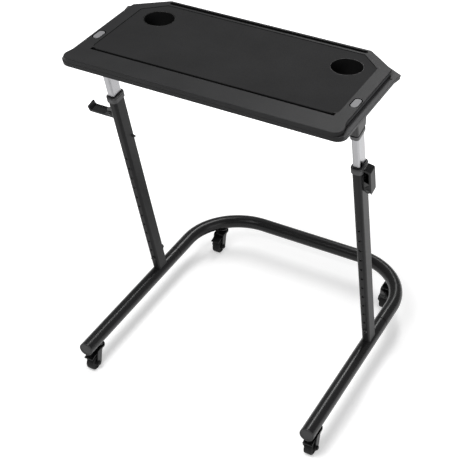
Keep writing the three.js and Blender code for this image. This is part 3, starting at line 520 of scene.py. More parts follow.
def fill(node, **values):
    """Sets inputs by their names, written with _ for a space, or feeds them from outputs."""
    for name, value in values.items():
        socket = node.inputs[name.replace("_", " ")]
        if isinstance(value, bpy.types.NodeSocket):
            node.id_data.links.new(value, socket)
        else:
            socket.default_value = value


def new_material(name):
    made = bpy.data.materials.new(name)
    made.use_nodes = True
    return made, made.node_tree, made.node_tree.nodes["Principled BSDF"]


def grey(level, share):
    """A share of a grey whose level is 0 to 255, a little cool."""
    linear = Color([level / 255] * 3).from_srgb_to_scene_linear().r
    return [min(1, linear * share * tint) for tint in (1, 1, COOL_SHARE)] + [1]


def grained(name, level, roughness, grain, depth, specular, cells=False, metallic=0,
            stretch=(1, 1, 1), spread=COLOUR_SPREAD):
    """A surface with a fine grain in its bump, and slow changes in its colour and gloss.

    The grain is counted per metre and its depth is in millimetres.
    """
    made, tree, shader = new_material(name)
    coordinates = fed(tree, "TexCoord").outputs["Object"]
    slow = fed(tree, "TexNoise", coordinates, Scale=BLOTCHES, Detail=BLOTCH_DETAIL)
    shades = fed(tree, "ValToRGB", slow.outputs["Fac"])
    for end, position, change in zip(shades.color_ramp.elements, RAMP_SHARES, (-spread, spread)):
        end.position = position
        end.color = grey(level, 1 + change)
    turn = fed(tree, "Mapping", coordinates, Rotation=(-LEAN, 0, 0), Scale=stretch)
    fine = fed(tree, "TexVoronoi" if cells else "TexNoise", turn.outputs["Vector"], Scale=grain)
    height = fine.outputs["Distance" if cells else "Fac"]
    gloss = fed(tree, "MapRange", height, To_Min=roughness - GLOSS_SPREAD,
                To_Max=min(1, roughness + GLOSS_SPREAD))
    bump = fed(tree, "Bump", Strength=1, Distance=depth * MM, Height=height)
    fill(shader, Metallic=metallic, Specular_IOR_Level=specular,
         Base_Color=shades.outputs["Color"], Roughness=gloss.outputs["Result"],
         Normal=bump.outputs["Normal"])
    return made


# Finishes: grey level, roughness, grain, depth of the grain and specular level
SMOOTH_FINISHES = {
    "black_paint": (27, 0.27, 700, 0.03, 0.24),
    # Painted light: a lighter, less shiny copy of the base tubes' black paint, set to how light
    # falls on the legs
    "leg_paint_painted_light": (37, 0.34, 700, 0.03, 0.07),
    "black_steel": (24, 0.36, 900, 0.03, 0.4),
    "collar_plastic": (72, 0.5, 1400, 0.03, 0.3),
    "cap_plastic": (40, 0.5, 1400, 0.03, 0.35),
    "well_plastic": (12, 0.5, 1200, 0.03, 0.3),
    "lozenge_plastic": (117, 0.6, 1200, 0.03, 0.2),
    "ring_plastic": (86, 0.5, 1200, 0.03, 0.35),
    "socket_paint": (34, 0.45, 800, 0.04, 0.35),
    "lever_paint": (38, 0.42, 700, 0.04, 0.12),
    "pin_plastic": (74, 0.45, 900, 0.03, 0.35),
    # Painted light for the side groove: lighter than the shell so as to offset the shade that
    # falls in that recess
    "groove_painted_light": (76, 0.7, 1100, 0.04, 0.2),
    # Near black painted shade for the insides of the pen channel, the device slot and the gap
    # round each leg's cap
    "painted_shade_black": (8, 0.8, 1100, 0.04, 0.1),
    "caster_steel": (14, 0.34, 700, 0.03, 0.25),
    "tyre_rubber": (14, 0.7, 500, 0.06, 0.3),
}
CELLED_FINISHES = {
    "desk_plastic": (37, 0.5, 1100, 0.05, 0.1),
    "pan_plastic": (62, 0.55, 1100, 0.04, 0.1),
    # Painted shade for the front band of the top and the pan: darker because less light falls on
    # the front than on the top
    "front_band_painted_shade": (36, 0.55, 1100, 0.04, 0.1),
    "mat_rubber": (31, 0.85, 420, 0.14, 0.15),
}
# Each kind's own traits: the brushed metal's grain is drawn out and its colour changes little
KINDS = (
    (SMOOTH_FINISHES, {}),
    (CELLED_FINISHES, {"cells": True}),
    ({"zinc_steel": (150, 0.35, 600, 0.01, 0.5)}, {"metallic": 1}),
    ({"bright_aluminium": (150, 0.3, 260, 0.01, 0.5)},
     {"metallic": 1, "stretch": (8, 8, 0.25), "spread": 0.05}),
)
LOOKS = {
    finish: grained(finish, *values, **traits)
    for finishes, traits in KINDS for finish, values in finishes.items()
}


# Base
def stem_hole(x, y):
    return shifted(bore(stem.radius + SEAT, -tube.radius - PAST, 0), x, y, axis_height)


def side_tube():
    start = -base.front + end_cap.thickness + SEAT
    made = prism(circle(tube.radius), start, base.seam - base.seam_groove, "y",
                 [circle(tube.radius - tube.wall)])
    shifted(made, base.half_span, 0, axis_height)
    return bevelled(cut(made, stem_hole(*caster_places["front"])), SOFT_EDGE)


def rear_tube():
    """The bent tube, drawn round its centreline as a hollow ring of points."""
    centre = Vector((base.half_span - base.bend, base.rear - base.bend))
    steps = 3 * ARC
    right = [(Vector((base.half_span, base.seam + base.seam_groove)), Vector((1, 0)))]
    for k in range(steps + 1):
        angle = pi / 2 * k / steps
        out = Vector((cos(angle), sin(angle)))
        right.append((centre + out * base.bend, out))
    line = right + [(Vector((-p.x, p.y)), Vector((-o.x, o.y))) for p, o in reversed(right)]
    outer, inside = (
        [[(p.x + o.x * a, p.y + o.y * a, axis_height + b) for a, b in circle(radius)]
         for p, o in line]
        for radius in (tube.radius, tube.radius - tube.wall)
    )
    made = loft(outer)
    hollow = loft([[(x, y - PAST, z) for x, y, z in inside[0]], *inside,
                   [(x, y - PAST, z) for x, y, z in inside[-1]]])
    x, y = caster_places["rear"]
    return bevelled(cut(made, hollow, stem_hole(x, y), stem_hole(-x, y)), SOFT_EDGE)


def tube_end_cap():
    plug = tube.radius - tube.wall - SEAT
    profile = [
        (0, end_cap.dish), (tube.radius - end_cap.rim - end_cap.dish, end_cap.dish),
        (tube.radius - end_cap.rim, 0),
        *quarter(tube.radius - end_cap.edge, end_cap.edge, end_cap.edge, -end_cap.edge),
        (tube.radius, end_cap.thickness), (plug, end_cap.thickness),
        (plug, end_cap.thickness + PAST), (0, end_cap.thickness + PAST),
    ]
    return shifted(turned(profile, "y", ROUND), base.half_span, -base.front, axis_height)


alone(rear_tube(), "bent_tube", "base", "rear_tube", "black_paint")
both_sides(side_tube(), "base_tube", "base", "side_tube", "black_paint")
both_sides(tube_end_cap(), "tube_end", "base", "end_cap", "cap_plastic")


# Legs, drawn up the leaning leg
def saddle():
    """The room of the base tube, which the leg's foot is cut to fit."""
    return moved(slab(circle(tube.radius + 2 * SEAT), leg.depth + PAST, "y"), UPRIGHT)


def slanted(made):
    """Takes a solid drawn about the middle of the leg's top to the slant of that top."""
    slant = Matrix.Translation((0, 0, leg.length))
    slant[2][1] = -tan(collar.tilt)
    return moved(made, slant)


def shoe_window(inside, outside):
    """Room for the pressure shoe, drawn about the height of the lever's pin."""
    across = shoe_half + SEAT
    height = shoe.half_height + SEAT
    return block(inside, outside, -across, across, -height, height)


def leg_tube():
    made = prism(oval(*LEG_OVAL), 0, leg.length + PAST, "z", [oval(*LEG_OVAL, -leg.wall)])
    above = slanted(block(-leg.width, leg.width, -leg.depth, leg.depth, 0, leg.depth))
    front = -leg.depth / 2
    holes = [
        shifted(bore(index_hole.radius, front - PAST, front + leg.wall + PAST, "y"),
                0, 0, index_hole.first + i * index_hole.pitch)
        for i in range(index_hole.count)
    ]
    window_in = leg.width / 2 - leg.wall - RUNNING / 2
    window = shifted(shoe_window(window_in, window_in + PAST), 0, 0, latch_height)
    pin_hole = bore(stop_pin.shank + SEAT, -leg.width, -leg.width / 2 + leg.corner, "x")
    foot_hole = rod(bolt.radius + SEAT, leg.depth / 2 + PAST, "y")
    return bevelled(cut(
        made, above, saddle(), *holes, window,
        shifted(pin_hole, 0, stop_pin.setback, stop_height),
        shifted(foot_hole, 0, 0, bolt.height),
    ))


def bolt_head():
    head = -leg.depth / 2 - SEAT
    top = head - bolt.head_height
    rim = bolt.socket + bolt.socket_rim
    rise = bolt.head_height * bolt.dome_share
    end = leg.depth / 2 + bolt.tail
    floor = top + bolt.socket_depth
    profile = [
        (0, floor), (bolt.socket, floor), (bolt.socket, top),
        *quarter(rim, top + rise, bolt.head - rim, -rise),
        (bolt.head, head), (bolt.radius, head),
        (bolt.radius, end - bolt.chamfer), (bolt.radius - bolt.chamfer, end), (0, end),
    ]
    return shifted(turned(profile, "y"), 0, 0, bolt.height)


def nut():
    start = leg.depth / 2 + SEAT
    hole = circle(bolt.radius + SEAT, ROUND_FINE)
    washer_end = start + hex_nut.washer_height
    made = prism(circle(hex_nut.radius, hex_nut.sides), washer_end, start + hex_nut.height,
                 "y", [hole])
    washer = prism(circle(hex_nut.washer), start, washer_end, "y", [hole])
    return shifted(joined(bevelled(made, SOFT_EDGE), washer), 0, 0, bolt.height)


def leg_collar():
    corners = oval_corners(*LEG_OVAL, collar.wall)
    top = SEAT + collar.lip
    made = domed(corners, top - collar.height, top, collar.edge, SOFT_EDGE)
    leg_room = prism(oval(*LEG_OVAL, SEAT), top - collar.height - PAST, SEAT)
    inner_room = prism(oval(*INNER_OVAL, RUNNING), 0, top + PAST)
    groove = prism(shrunk(corners, -PAST), SEAT, SEAT + collar.groove_height, "z",
                   [shrunk(corners, collar.groove)])
    return slanted(bevelled(cut(made, leg_room, inner_room, groove)))


def leg_stop_pin():
    head = leg.width / 2 + SEAT
    inside = leg.width / 2 - leg.wall - stop_pin.tip
    end = head + stop_pin.head_height
    profile = [(0, -inside), (stop_pin.shank, -inside), (stop_pin.shank, -head),
               (stop_pin.head, -head), *dome(stop_pin.head, -stop_pin.head, stop_pin.head - end)]
    return shifted(turned(profile, "x"), 0, stop_pin.setback, stop_height)


def inner_tube():
    made = prism(oval(*INNER_OVAL), inner_bottom, inner_top, "z", [oval(*INNER_OVAL, -inner.wall)])
    wall_depth = inner_corner - inner.wall
    outer = inner_width / 2
    guide_top = collar_top + guide_slot.above
    half = guide_slot.width / 2
    guide = box_corners(-guide_slot.setback - half, -guide_slot.setback + half,
                        guide_top - guide_slot.length, guide_top, half - SEAT / 2)
    stop_half = stop_pin.shank + SEAT
    past = guide_slot.end + stop_half
    run = box_corners(stop_pin.setback - stop_half, stop_pin.setback + stop_half,
                      stop_height - travel.up - past, stop_height + travel.down + past,
                      stop_half - SEAT / 2)
    return bevelled(cut(
        made, prism(rounded(guide), outer - wall_depth, outer + PAST, "x"),
        prism(rounded(run), -outer - PAST, -outer + wall_depth, "x"),
    ))


def socket_ring():
    depth = leg.depth + socket.wall - 2 * SEAT
    hole = oval(*INNER_OVAL, SEAT)
    outline = oval(leg.width, depth, leg.corner)
    return bevelled(prism(outline, ring_bottom, ring_top, "z", [hole]), SOFT_EDGE)


# The outer legs take the copy of the black paint with painted light, lighter and less shiny than
# on the base tubes
both_sides(leg_tube(), "outer_leg", "base", "leg_tube", "leg_paint_painted_light", LEG)
both_sides(bolt_head(), "leg_bolt", "base", "foot_bolt", "black_steel", LEG)
both_sides(nut(), "leg_nut", "base", "foot_nut", "black_steel", LEG)
both_sides(leg_collar(), "guide_collar", "base", "collar", "collar_plastic", LEG)
both_sides(leg_stop_pin(), "leg_stop", "base", "stop_pin", "pin_plastic", LEG)
both_sides(inner_tube(), "inner_leg", "desktop", "inner_tube", "bright_aluminium", LEG)
both_sides(socket_ring(), "bracket_ring", "desktop", "socket_ring", "ring_plastic", LEG)


# Latches, drawn about the lever's pin
def latch_bracket():
    half = latch.cheek_half
    side = [
        (plate_in, latch.cheek_above), (plate_in, -latch.below), (plate_out, -latch.below),
        *arc(latch.eye, latch.eye_start, RIGHT), (latch.eye, latch.cheek_shoulder),
        (plate_out, latch.cheek_above),
    ]
    cheeks = slab(side, half, "y")
    between = block(plate_out, latch.standoff + PAST, -half + latch.cheek, half - latch.cheek,
                    -latch.standoff - PAST, latch.cheek_above + PAST)
    near_out = latch.eye + SEAT
    near_shoulder = latch.near_cheek + latch.cheek_shoulder - latch.cheek_above
    near_top = [
        (plate_out, latch.near_cheek), (near_out, near_shoulder),
        (near_out, latch.above), (plate_out, latch.above),
    ]
    cut(cheeks, between, prism(near_top, -half - PAST, 0, "y"))
    plate = domed(box_corners(-half, half, -latch.below, latch.above, latch.plate_corner),
                  plate_in, plate_out, axis="x")
    rivet = [(0, 0), *dome(latch.rivet, latch.rivet_height, SEAT)]
    rivets = [
        shifted(turned(rivet, "x"), plate_out - SEAT, 0, height)
        for height in latch.rivet_places
    ]
    joined(cheeks, plate, *rivets)
    cut(cheeks, shoe_window(plate_in - PAST, plate_out + SEAT),
        rod(latch_pin.radius + SEAT, half + PAST, "y"))
    return bevelled(cheeks)


def cam_lever():
    web_in = lever.offset - lever.web
    rail_in = lever.offset - lever.rail
    tip_in = lever.offset - lever.hook_depth
    tip_top = lever.reach + lever.hook_rise
    hook_foot = lever.reach - lever.hook_wall
    slant = lever.nose * sqrt(1 / 2)

    def rise(x):
        """How much higher the slanting hook is at x than where it starts."""
        return (lever.offset - x) * lever.hook_rise / lever.hook_depth

    arm = rounded([
        (lever.offset, -lever.web_start, 0), (lever.offset, lever.reach, lever.hook_wall),
        (tip_in, tip_top, lever.tip), (tip_in, tip_top - lever.hook_wall, lever.tip),
        (rail_in, hook_foot + rise(rail_in), lever.hook_wall),
        (rail_in, rail_in + 2 * slant, lever.nose), (-slant, slant, 0), (0, 0, 0),
        (slant, -slant, 0),
    ])
    far = lever.hook_depth + PAST
    room_half = lever_half - lever.wall
    room = rounded([
        (-far, -far, 0), (far, -far, 0), (far, -lever.web_start, 0), (web_in, -lever.web_start, 0),
        (web_in, hook_foot + rise(web_in), 0), (-far, hook_foot + rise(-far), 0),
    ])
    cam_shape = [
        *arc(cam.clamped, LEFT, DOWN, last=cam.free),
        (web_in + SEAT, -cam.free), (web_in + SEAT, cam.clamped),
        *arc(cam.clamped, UP, cam.back),
    ]
    made = joined(slab(arm, lever_half, "y"), slab(circle(lever.nose), lever_half, "y"))
    joined(cut(made, slab(room, room_half, "y")), slab(cam_shape, shoe_half, "y"))
    return bevelled(cut(made, rod(latch_pin.radius + SEAT, far, "y")))


def hinge_pin():
    half = lever_half + SEAT
    end = half + latch_pin.head_height
    side = [
        (latch_pin.radius, half), (latch_pin.head, half),
        (latch_pin.head, end - SOFT_EDGE), (latch_pin.head - SOFT_EDGE, end), (0, end),
    ]
    return turned(both_ends(side), "y")


def pressure_shoe():
    out = -cam.clamped - SEAT
    in_end = inner_width / 2 + SEAT - pin_out
    lip = shoe.half_height + shoe.lip
    made = block(in_end, out, -shoe_half, shoe_half, -shoe.half_height, shoe.half_height)
    head = block(out - shoe.lip_wall, out, -shoe_half, shoe_half, -lip, lip)
    return bevelled(joined(made, head))


both_sides(latch_bracket(), "latch_bracket", "base", "latch_base", "black_steel", LATCH)
both_sides(hinge_pin(), "hinge_pin", "base", "latch_pin", "black_steel", LATCH)

# The right lever lies along its leg and clamps, the left one stands out and is free
latch_kit = [
    (cam_lever(), "cam_lever_", "latch_lever_", "lever_paint", Matrix.Rotation(pi / 2, 4, "Y")),
    (pressure_shoe(), "pressure_shoe_", "latch_shoe_", "cap_plastic",
     Matrix.Translation((cam.clamped - cam.free, 0, 0))),
]
for side, mirror in SIDES.items():
    for drawn, label, node, finish, opened in latch_kit:
        place = mirror @ LATCH @ (opened if side == "left" else Matrix())
        put(drawn, label + side, node + side, node + side, finish, place)
discard(*[row[0] for row in latch_kit])


# Casters, drawn about the point on the floor below the swivel axis
def at_axle(made):
    return shifted(made, 0, -caster.trail, wheel.radius)


def caster_wheel():
    rim = wheel.radius - wheel.rim
    dish = wheel.half_width - wheel.dish
    tread = wheel.half_width - wheel.edge
    half = [
        *quarter(wheel.radius - wheel.edge, tread, wheel.edge, wheel.edge)[::-1],
        (rim + 2 * wheel.groove, wheel.half_width),
        (rim + wheel.groove, wheel.half_width - wheel.groove), (rim, wheel.half_width),
        (rim - wheel.dish, dish), (wheel.hub + wheel.groove, dish),
        (wheel.hub, dish + wheel.groove), (wheel.hub, wheel.hub_half - SOFT_EDGE),
        (wheel.hub - SOFT_EDGE, wheel.hub_half), (axle.radius + SEAT, wheel.hub_half),
    ]
    return at_axle(turned(both_ends(half), "x", 2 * ROUND))


def caster_axle():
    out = fork.half_width + SEAT
    rise = axle.cap_height * axle.dome_share
    half = [
        (axle.radius, out), (axle.cap, out), *dome(axle.cap, rise, out + axle.cap_height - rise),
    ]
    return at_axle(turned(both_ends(half), "x"))


def caster_fork():
    rim = fork.crown_top - fork.crown_rim
    side = rounded([
        (fork.crown_back, rim, fork.wall), (fork.crown_back, fork.crown_top, fork.wall / 2),
        (-fork.crown_front, fork.crown_top, fork.corner),
        (-fork.cheek_front, fork.cheek_bottom, fork.corner),
        (-fork.cheek_back, fork.cheek_bottom, fork.corner),
        (-fork.cheek_top_back, rim, fork.corner),
    ])
    across = fork.half_width - fork.wall
    far = fork.cheek_front + PAST
    made = slab(side, fork.half_width, "x")
    plan = rounded(both_halves([
        (fork.half_width, -far, 0), (fork.half_width, fork.crown_back, across),
    ]))
    cut(made, block(-across, across, -far, far, 0, fork.crown_top - fork.wall))
    bevelled(common(made, prism(plan, 0, caster.height)), SOFT_EDGE)
    joined(made, prism(circle(race.radius), fork.crown_top - fork.wall / 2, race_top),
           shifted(rod(pedal.pin, across + SEAT, "x"), 0, -pedal.setback, pedal.height))
    cut(made, bore(stem.radius + SEAT, pedal.height, caster.height),
        at_axle(rod(axle.radius + SEAT, fork.half_width + PAST, "x")))
    return bevelled(made)


def caster_stem():
    under = fork.crown_top - fork.wall - SEAT
    foot = under - stem.head_height
    top = caster.height + stem.rise
    profile = [
        (0, foot), (stem.head - SOFT_EDGE, foot), (stem.head, foot + SOFT_EDGE),
        (stem.head, under),
        (stem.radius, under), (stem.radius, race_top + SEAT), (race.radius, race_top + SEAT),
        (race.radius, race_top + race.wall / 2), (stem.flange, caster.height - SEAT),
        (stem.radius, caster.height - SEAT), (stem.radius, top - stem.chamfer),
        (stem.radius - stem.chamfer, top), (0, top),
    ]
    return turned(profile, count=ROUND)


def brake_pedal():
    y = -pedal.setback
    z = pedal.height
    half_wall = pedal.wall / 2
    toe_top = pedal.toe + half_wall
    side = [
        *arc(pedal.eye, pedal.eye_start, pedal.eye_stop, x=y, y=z),
        (-fork.cheek_front, z + pedal.wall), (-pedal.reach, toe_top),
        (-pedal.reach, pedal.toe - half_wall), (-fork.cheek_front, z),
    ]
    made = slab(side, pedal.half_width, "x")
    tread = slab(circle(wheel.radius + SEAT, ROUND, -caster.trail, wheel.radius),
                 pedal.half_width + PAST, "x")
    pad = slab(rectangle(-caster.trail - pedal.pad / 2, -caster.trail + pedal.pad / 2,
                         2 * wheel.radius - SEAT, z + half_wall),
               wheel.half_width - wheel.edge, "x")
    slope = (z + pedal.wall - toe_top) / (pedal.reach - fork.cheek_front)
    ridges = []
    for k in range(pedal.ridge_count):
        back = pedal.reach - (2 * k + 1) * pedal.ridge_width
        foot = toe_top + (pedal.reach - back) * slope
        ridge = rectangle(-back - pedal.ridge_width / 2, -back + pedal.ridge_width / 2,
                          foot - half_wall, foot + pedal.ridge)
        ridges.append(slab(ridge, pedal.half_width - pedal.wall, "x"))
    joined(made, pad, *ridges)
    eye = rod(pedal.pin + SEAT, pedal.half_width + PAST, "x")
    return bevelled(cut(made, tread, shifted(eye, 0, y, z)))


caster_kit = [
    (caster_stem(), "stem", "caster_stem", "base", "zinc_steel"),
    (caster_fork(), "fork", "caster_fork", "caster{}", "caster_steel"),
    (caster_axle(), "axle_caps", "caster_axle", "caster{}", "caster_steel"),
    (caster_wheel(), "wheel", "caster_wheel", "wheel{}", "tyre_rubber"),
    (brake_pedal(), "pedal", "brake_pedal", "pedal{}", "caster_steel"),
]
for drawn, label, node, body, finish in caster_kit:
    for end, (x, y) in caster_places.items():
        for side, mirror in SIDES.items():
            where = f"_{end}_{side}"
            put(drawn, label + where, body.format(where), node + where, finish,
                mirror @ Matrix.Translation((x, y, 0)))
    discard(drawn)


# Desktop
top_corners = both_halves([
    (waist + desk.flare, -desk.front, desk.front_radius),
    (waist + desk.flare, -desk.flare_front, desk.flare_front_radius),
    (waist, -desk.flare_back, desk.flare_back_radius),
    (waist, -desk.chamfer_front, desk.corner), (chamfer_end, desk.back, desk.corner),
])
mat_corners = both_halves([
    (mat_half, -mat.front, mat.front_radius), (mat_half, -mat.chamfer_front, mat.corner),
    (mat_half - mat.chamfer_across, -mat.back, mat.corner),
])


def pair(points, low, high, x, y):
    """The same outline drawn up on either side."""
    return [shifted(prism(points, low, high), sign * x, y, 0) for sign in (-1, 1)]


def cup_cutters(low, high):
    return pair(circle(cup.radius + SEAT, ROUND_WIDE), low, high, cup_across, -cup.setback)


def leaning(made, sign):
    """Takes a solid drawn up the leg to the leg's own place on one side."""
    return shifted(moved(made, LEANING), sign * base.half_span, 0, axis_height)


def desktop_shell():
    bottom = desk_height - desk.shell
    above = desk_height + PAST
    channel_back = -mat.front - SEAT
    slot_front = -slot.front
    slot_back = slot_front + slot.width
    cavity = prism(shrunk(top_corners, desk.wall), bottom - PAST, plate_foot)
    for half, front, back, sizes in (
        (channel_half, channel_back - channel.width, channel_back, channel),
        (slot_half, slot_front, slot_back, slot),
    ):
        wall = sizes.wall
        cut(cavity, block(-half - wall, half + wall, front - wall, back + wall,
                          desk_height - sizes.depth - sizes.floor, plate_foot + PAST))
    made = domed(top_corners, bottom, desk_height, desk.edge, FINE_EDGE, draft=desk.draft)
    openings = pair(oval(*CAP_OVAL, cap.rim), plate_foot - PAST, above, base.half_span, cap_back)
    outline = box_corners(-slot_half, slot_half, slot_front, slot_back, (slot.width - SEAT) / 2)
    cut(made, cavity, prism(shrunk(mat_corners, -SEAT), recess_floor, above),
        block(-channel_half, channel_half, channel_back - channel.width,
              channel_back + SEAT, desk_height - channel.depth, above),
        prism(rounded(outline), desk_height - slot.depth, above),
        *cup_cutters(bottom - PAST, above), *openings)
    return bevelled(made, SOFT_EDGE)


def in_dark_opening(middle):
    """Whether a face lies in the pen channel, the device slot or round a leg's cap, whose faces
    take a near black painted shade.
    """
    beside = cap.rim + SEAT
    plans = (
        (0, -mat.front - channel.width / 2, channel_half + NEARBY, channel.width / 2 + NEARBY),
        (0, slot.width / 2 - slot.front, slot_half + NEARBY, slot.width / 2 + NEARBY),
        (base.half_span, cap_back, cap.width / 2 + beside, cap.depth / 2 + beside),
    )
    low = desk_height - slot.depth - SEAT
    return low <= middle.z <= desk_height - SOFT_EDGE and any(
        abs(abs(middle.x) - x) < half and abs(middle.y - y) < fore for x, y, half, fore in plans)


def in_side_groove(middle):
    """Whether a face lies in the groove between the top's side edge and the pan's flange, which
    takes a painted light that offsets the shade falling in it.
    """
    across = abs(middle.x)
    along_side = -desk.flare_back < middle.y < -desk.chamfer_front
    between = waist - desk.draft < across < pan_half - pan.shelf + SEAT
    foot = desk_height - desk.shell - SOFT_EDGE
    in_height = foot - pan.recess < middle.z < desk_height - desk.edge
    return along_side and between and in_height and (middle.z < foot or across < waist + SOFT_EDGE)


def in_front_band(middle):
    """Whether a face lies in the low front edge of the top or the pan, which is painted darker as
    painted shade.
    """
    front = middle.y < -pan.front + pan.front_radius * pan.band_share
    return front and abs(middle.x) < pan_half and middle.z < desk_height - desk.edge


# Where the bracket's foot and flange lie, from the side
socket_half = leg.depth / 2 + socket.wall / 2 - SEAT
socket_foot = ring_top + socket.shadow_gap
bottom_front, bottom_back = (
    Matrix.Rotation(LEAN, 2) @ Vector((half, socket_foot)) + Vector((0, axis_height))
    for half in (-socket_half, socket_half)
)
flange_top = desk_foot - SEAT
flange_bottom = flange_top - socket.flange
front_x = bottom_front.x - (flange_top - bottom_front.y) * tan(LEAN)
flange_middle = (front_x + bottom_back.x) / 2


def desktop_pan():
    top = desk_foot + pan.height
    corners = both_halves([
        (pan_half, -pan.front - desk.draft, pan.front_radius),
        (pan_half, -pan.block_front, pan.block_foot),
        (pan_half + pan.block_reach, -pan.block_back, pan.block_corner),
        (chamfer_end + pan.back_reach, desk.back, pan.block_corner),
    ])
    made = domed(corners, desk_foot, top, pan.edge, pan.edge, draft=desk.draft)
    room = prism(shrunk(top_corners, pan.rim), desk_foot + pan.floor, top + PAST)
    inside = pan_half - pan.rim
    common(room, prism(rounded(both_halves([
        (inside, -pan.front + pan.rim, pan.front_radius - pan.rim), (inside, desk.back, 0),
    ])), desk_foot, top + 2 * PAST))
    tools = [room, *cup_cutters(desk_foot - PAST, top + PAST)]
    leg_room = oval(inner_width, inner_depth, inner_corner - RUNNING, RUNNING)
    for sign in (-1, 1):
        ends = sorted((sign * waist, sign * (pan_half - pan.shelf)))
        tools += [
            block(*ends, -desk.flare_back, -pan.block_front, top - pan.recess, top + PAST),
            leaning(prism(leg_room, ring_bottom, inner_top + PAST), sign),
        ]
    return bevelled(cut(made, *tools))


def desk_mat():
    bottom = mat_top - mat.thickness
    made = domed(mat_corners, bottom, mat_top)
    return bevelled(cut(made, *cup_cutters(bottom - PAST, mat_top + PAST)))


def cup_liner():
    bottom = mat_top - cup.depth
    inside = cup.radius - cup.wall
    floor = bottom + cup.wall
    bend = cup.corner - cup.wall
    profile = [
        (0, bottom),
        *quarter(cup.radius - cup.corner, bottom + cup.corner, cup.corner, -cup.corner),
        (cup.radius, mat_top - SOFT_EDGE), (cup.radius - SOFT_EDGE, mat_top),
        (inside + SOFT_EDGE, mat_top), (inside, mat_top - SOFT_EDGE),
        *quarter(inside - bend, floor + bend, bend, -bend)[::-1], (0, floor),
    ]
    return shifted(turned(profile, count=ROUND_WIDE), cup_across, -cup.setback, 0)


def tube_cap():
    made = domed(oval_corners(*CAP_OVAL), plate_foot, desk_height)
    return shifted(made, base.half_span, cap_back, 0)


def leg_socket():
    flange_foot = flange_bottom + SEAT
    side = [bottom_front, bottom_back, (bottom_back.x, flange_foot), (front_x, flange_foot)]
    half = leg.width / 2
    made = prism(side, base.half_span - half, base.half_span + half, "x")
    bevelled(made, socket.edge, ARC)
    rim = 2 * socket.flange_rim
    flange = domed(oval_corners(leg.width + rim, bottom_back.x - front_x + rim,
                                socket.flange_corner),
                   flange_bottom, flange_top, FINE_EDGE, SOFT_EDGE)
    joined(made, shifted(flange, base.half_span, flange_middle, 0))
    return cut(made, leaning(prism(oval(*INNER_OVAL, SEAT), ring_bottom, inner_top), 1))


def screw_head():
    """A domed head with a cross in it, hanging from the face that it is drawn on."""
    low = -SEAT - screw.height
    long = screw.cross / 2
    thin = screw.cross_width / 2
    profile = [(0, 0), (screw.radius, 0), *dome(screw.radius, -screw.height, -SEAT)]
    bars = [
        block(-x, x, -y, y, low - PAST, low + screw.cross_depth)
        for x, y in ((long, thin), (thin, long))
    ]
    return cut(turned(profile), *bars)


def put_screws():
    """Four screws in each bracket's flange, and a row round the underside of the pan."""
    drawn = screw_head()
    beside = (leg.width + socket.flange_rim) / 2
    fore = (bottom_back.x - front_x) * screw.fore_share
    places = [
        ("bracket_screw", base.half_span + a * beside, flange_middle + b * fore, flange_bottom)
        for a in (-1, 1) for b in (-1, 1)
    ]
    front = -pan.front + screw.rim
    back = desk.back - screw.rim
    out = pan_half - screw.rim
    near = waist * screw.spread_share
    places += [
        ("pan_screw", x, y, desk_foot) for x, y in (
            (out, front), (near, front), (out, -pan.block_front - screw.rim),
            (chamfer_end - screw.rim, back), (near, back),
        )
    ]
    for side, mirror in SIDES.items():
        for number, (name, x, y, z) in enumerate(places):
            put(drawn, f"{name}_{number + 1}_{side}", "desktop", None, "zinc_steel",
                mirror @ Matrix.Translation((x, y, z)))
    discard(drawn)


# The shell and the pan take painted shade in their openings and front band, and painted light in
# the side groove
alone(desktop_shell(), "desktop_shell", "desktop", "top_shell", "desk_plastic",
      [("painted_shade_black", in_dark_opening), ("groove_painted_light", in_side_groove),
       ("front_band_painted_shade", in_front_band)])
alone(desktop_pan(), "desktop_pan", "desktop", "bottom_pan", "pan_plastic",
      [("groove_painted_light", in_side_groove), ("front_band_painted_shade", in_front_band)])
alone(desk_mat(), "grip_mat", "desktop", "mat", "mat_rubber")
both_sides(cup_liner(), "cup_well", "desktop", "cup_liner", "well_plastic")
both_sides(tube_cap(), "leg_cap", "desktop", "tube_cap", "lozenge_plastic")
both_sides(leg_socket(), "desk_bracket", "desktop", "leg_socket", "socket_paint")
put_screws()

# The solids that stay as they are, inside the tubes
for node in ("joint_sleeve", "leg_stub"):
    for side in SIDES:
        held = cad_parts[node + "_" + side]
        held.data.materials.clear()
        held.data.materials.append(LOOKS["black_steel"])

# Floor, light and camera, in metres
MIDDLE = (0, 0, 0.6)
WHITE = (1, 1, 1, 1)
studio = Sizes(
    reach=12, floor_shade=0.8, floor_roughness=0.9, near=0.55, far=1.15, near_lift=0.38,
    far_lift=0.85, ambient=0.3,
)
lamps = (
    Sizes(name="front_key", place=(-0.3, -1.8, 3.5), size=(1.4, 1.4), power=82),
    Sizes(name="right_side", place=(3.2, -0.6, 1.2), size=(2, 2), power=26),
    Sizes(name="back_glint", place=(-0.25, 2.1, 3.1), size=(0.7, 2), power=54),
)
# The camera's place and aim, in millimetres in the drawings' own frame
view = Sizes(place=(1314.5, -2631.3, 2639.9), aim=(162.4, -484.1, 769.9), lens=91.03, sensor=36)


def aimed(made, place, aim):
    made.location = place
    made.rotation_mode = "QUATERNION"
    made.rotation_quaternion = (Vector(aim) - Vector(place)).to_track_quat("-Z", "Y")


def seen_by(tree, other):
    """An output that is 1 for the camera's rays and for one other kind, and else 0."""
    rays = fed(tree, "LightPath").outputs
    kinds = [rays[f"Is {kind} Ray"] for kind in ("Camera", other)]
    return fed(tree, "Math", *kinds, operation="MAXIMUM").outputs[0]


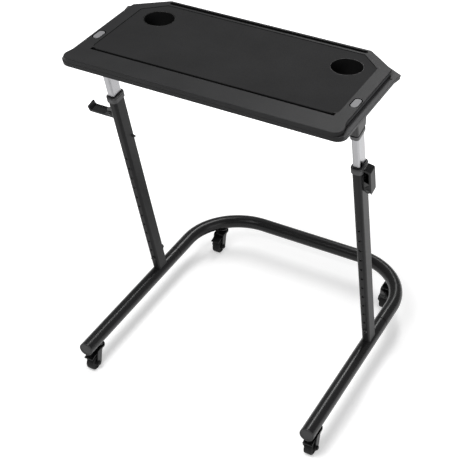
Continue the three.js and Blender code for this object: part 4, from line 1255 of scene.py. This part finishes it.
def floor_material():
    """A pale floor that takes shadows, lifted to white for the camera and for reflections."""
    made, tree, shader = new_material("pale_floor")
    fill(shader, Base_Color=[studio.floor_shade] * 3 + [1], Roughness=studio.floor_roughness,
         Specular_IOR_Level=0)
    middle = fed(tree, "TexCoord").outputs["Object"]
    away = fed(tree, "VectorMath", middle, operation="LENGTH").outputs["Value"]
    lift = fed(tree, "MapRange", away, From_Min=studio.near, From_Max=studio.far,
               To_Min=studio.near_lift, To_Max=studio.far_lift).outputs["Result"]
    strength = fed(tree, "Math", seen_by(tree, "Glossy"), lift, operation="MULTIPLY")
    glow = fed(tree, "Emission", Strength=strength.outputs[0])
    total = fed(tree, "AddShader", shader.outputs["BSDF"], glow.outputs["Emission"])
    fill(tree.nodes["Material Output"], Surface=total.outputs["Shader"])
    return made


def studio_world():
    """A plain ambient light, with a white background for the camera."""
    made = bpy.data.worlds.new("studio")
    made.use_nodes = True
    tree = made.node_tree
    ambient = tree.nodes["Background"]
    fill(ambient, Color=WHITE, Strength=studio.ambient)
    white = fed(tree, "Background", Color=WHITE)
    mix = fed(tree, "MixShader", seen_by(tree, "Transmission"), ambient.outputs[0],
              white.outputs[0])
    fill(tree.nodes["World Output"], Surface=mix.outputs["Shader"])
    return made


floor_mesh = bpy.data.meshes.new("floor")
floor_corners = rectangle(-studio.reach, studio.reach, -studio.reach, studio.reach)
floor_mesh.from_pydata([(x, y, 0) for x, y in floor_corners], [], [(0, 1, 2, 3)])
floor_mesh.materials.append(floor_material())
floor = in_scene("floor", floor_mesh)
bpy.context.scene.world = studio_world()
for one in lamps:
    light = bpy.data.lights.new(one.name, "AREA")
    light.shape = "RECTANGLE"
    light.size, light.size_y = one.size
    light.energy = one.power
    aimed(in_scene(one.name, light), one.place, MIDDLE)

lens = bpy.data.cameras.new("camera")
lens.lens = view.lens
lens.sensor_width = view.sensor
camera = in_scene("camera", lens)
aimed(camera, TO_FRAME @ Vector(view.place), TO_FRAME @ Vector(view.aim))
bpy.context.scene.camera = camera
bpy.context.scene.view_settings.view_transform = "Standard"

bpy.context.view_layer.update()
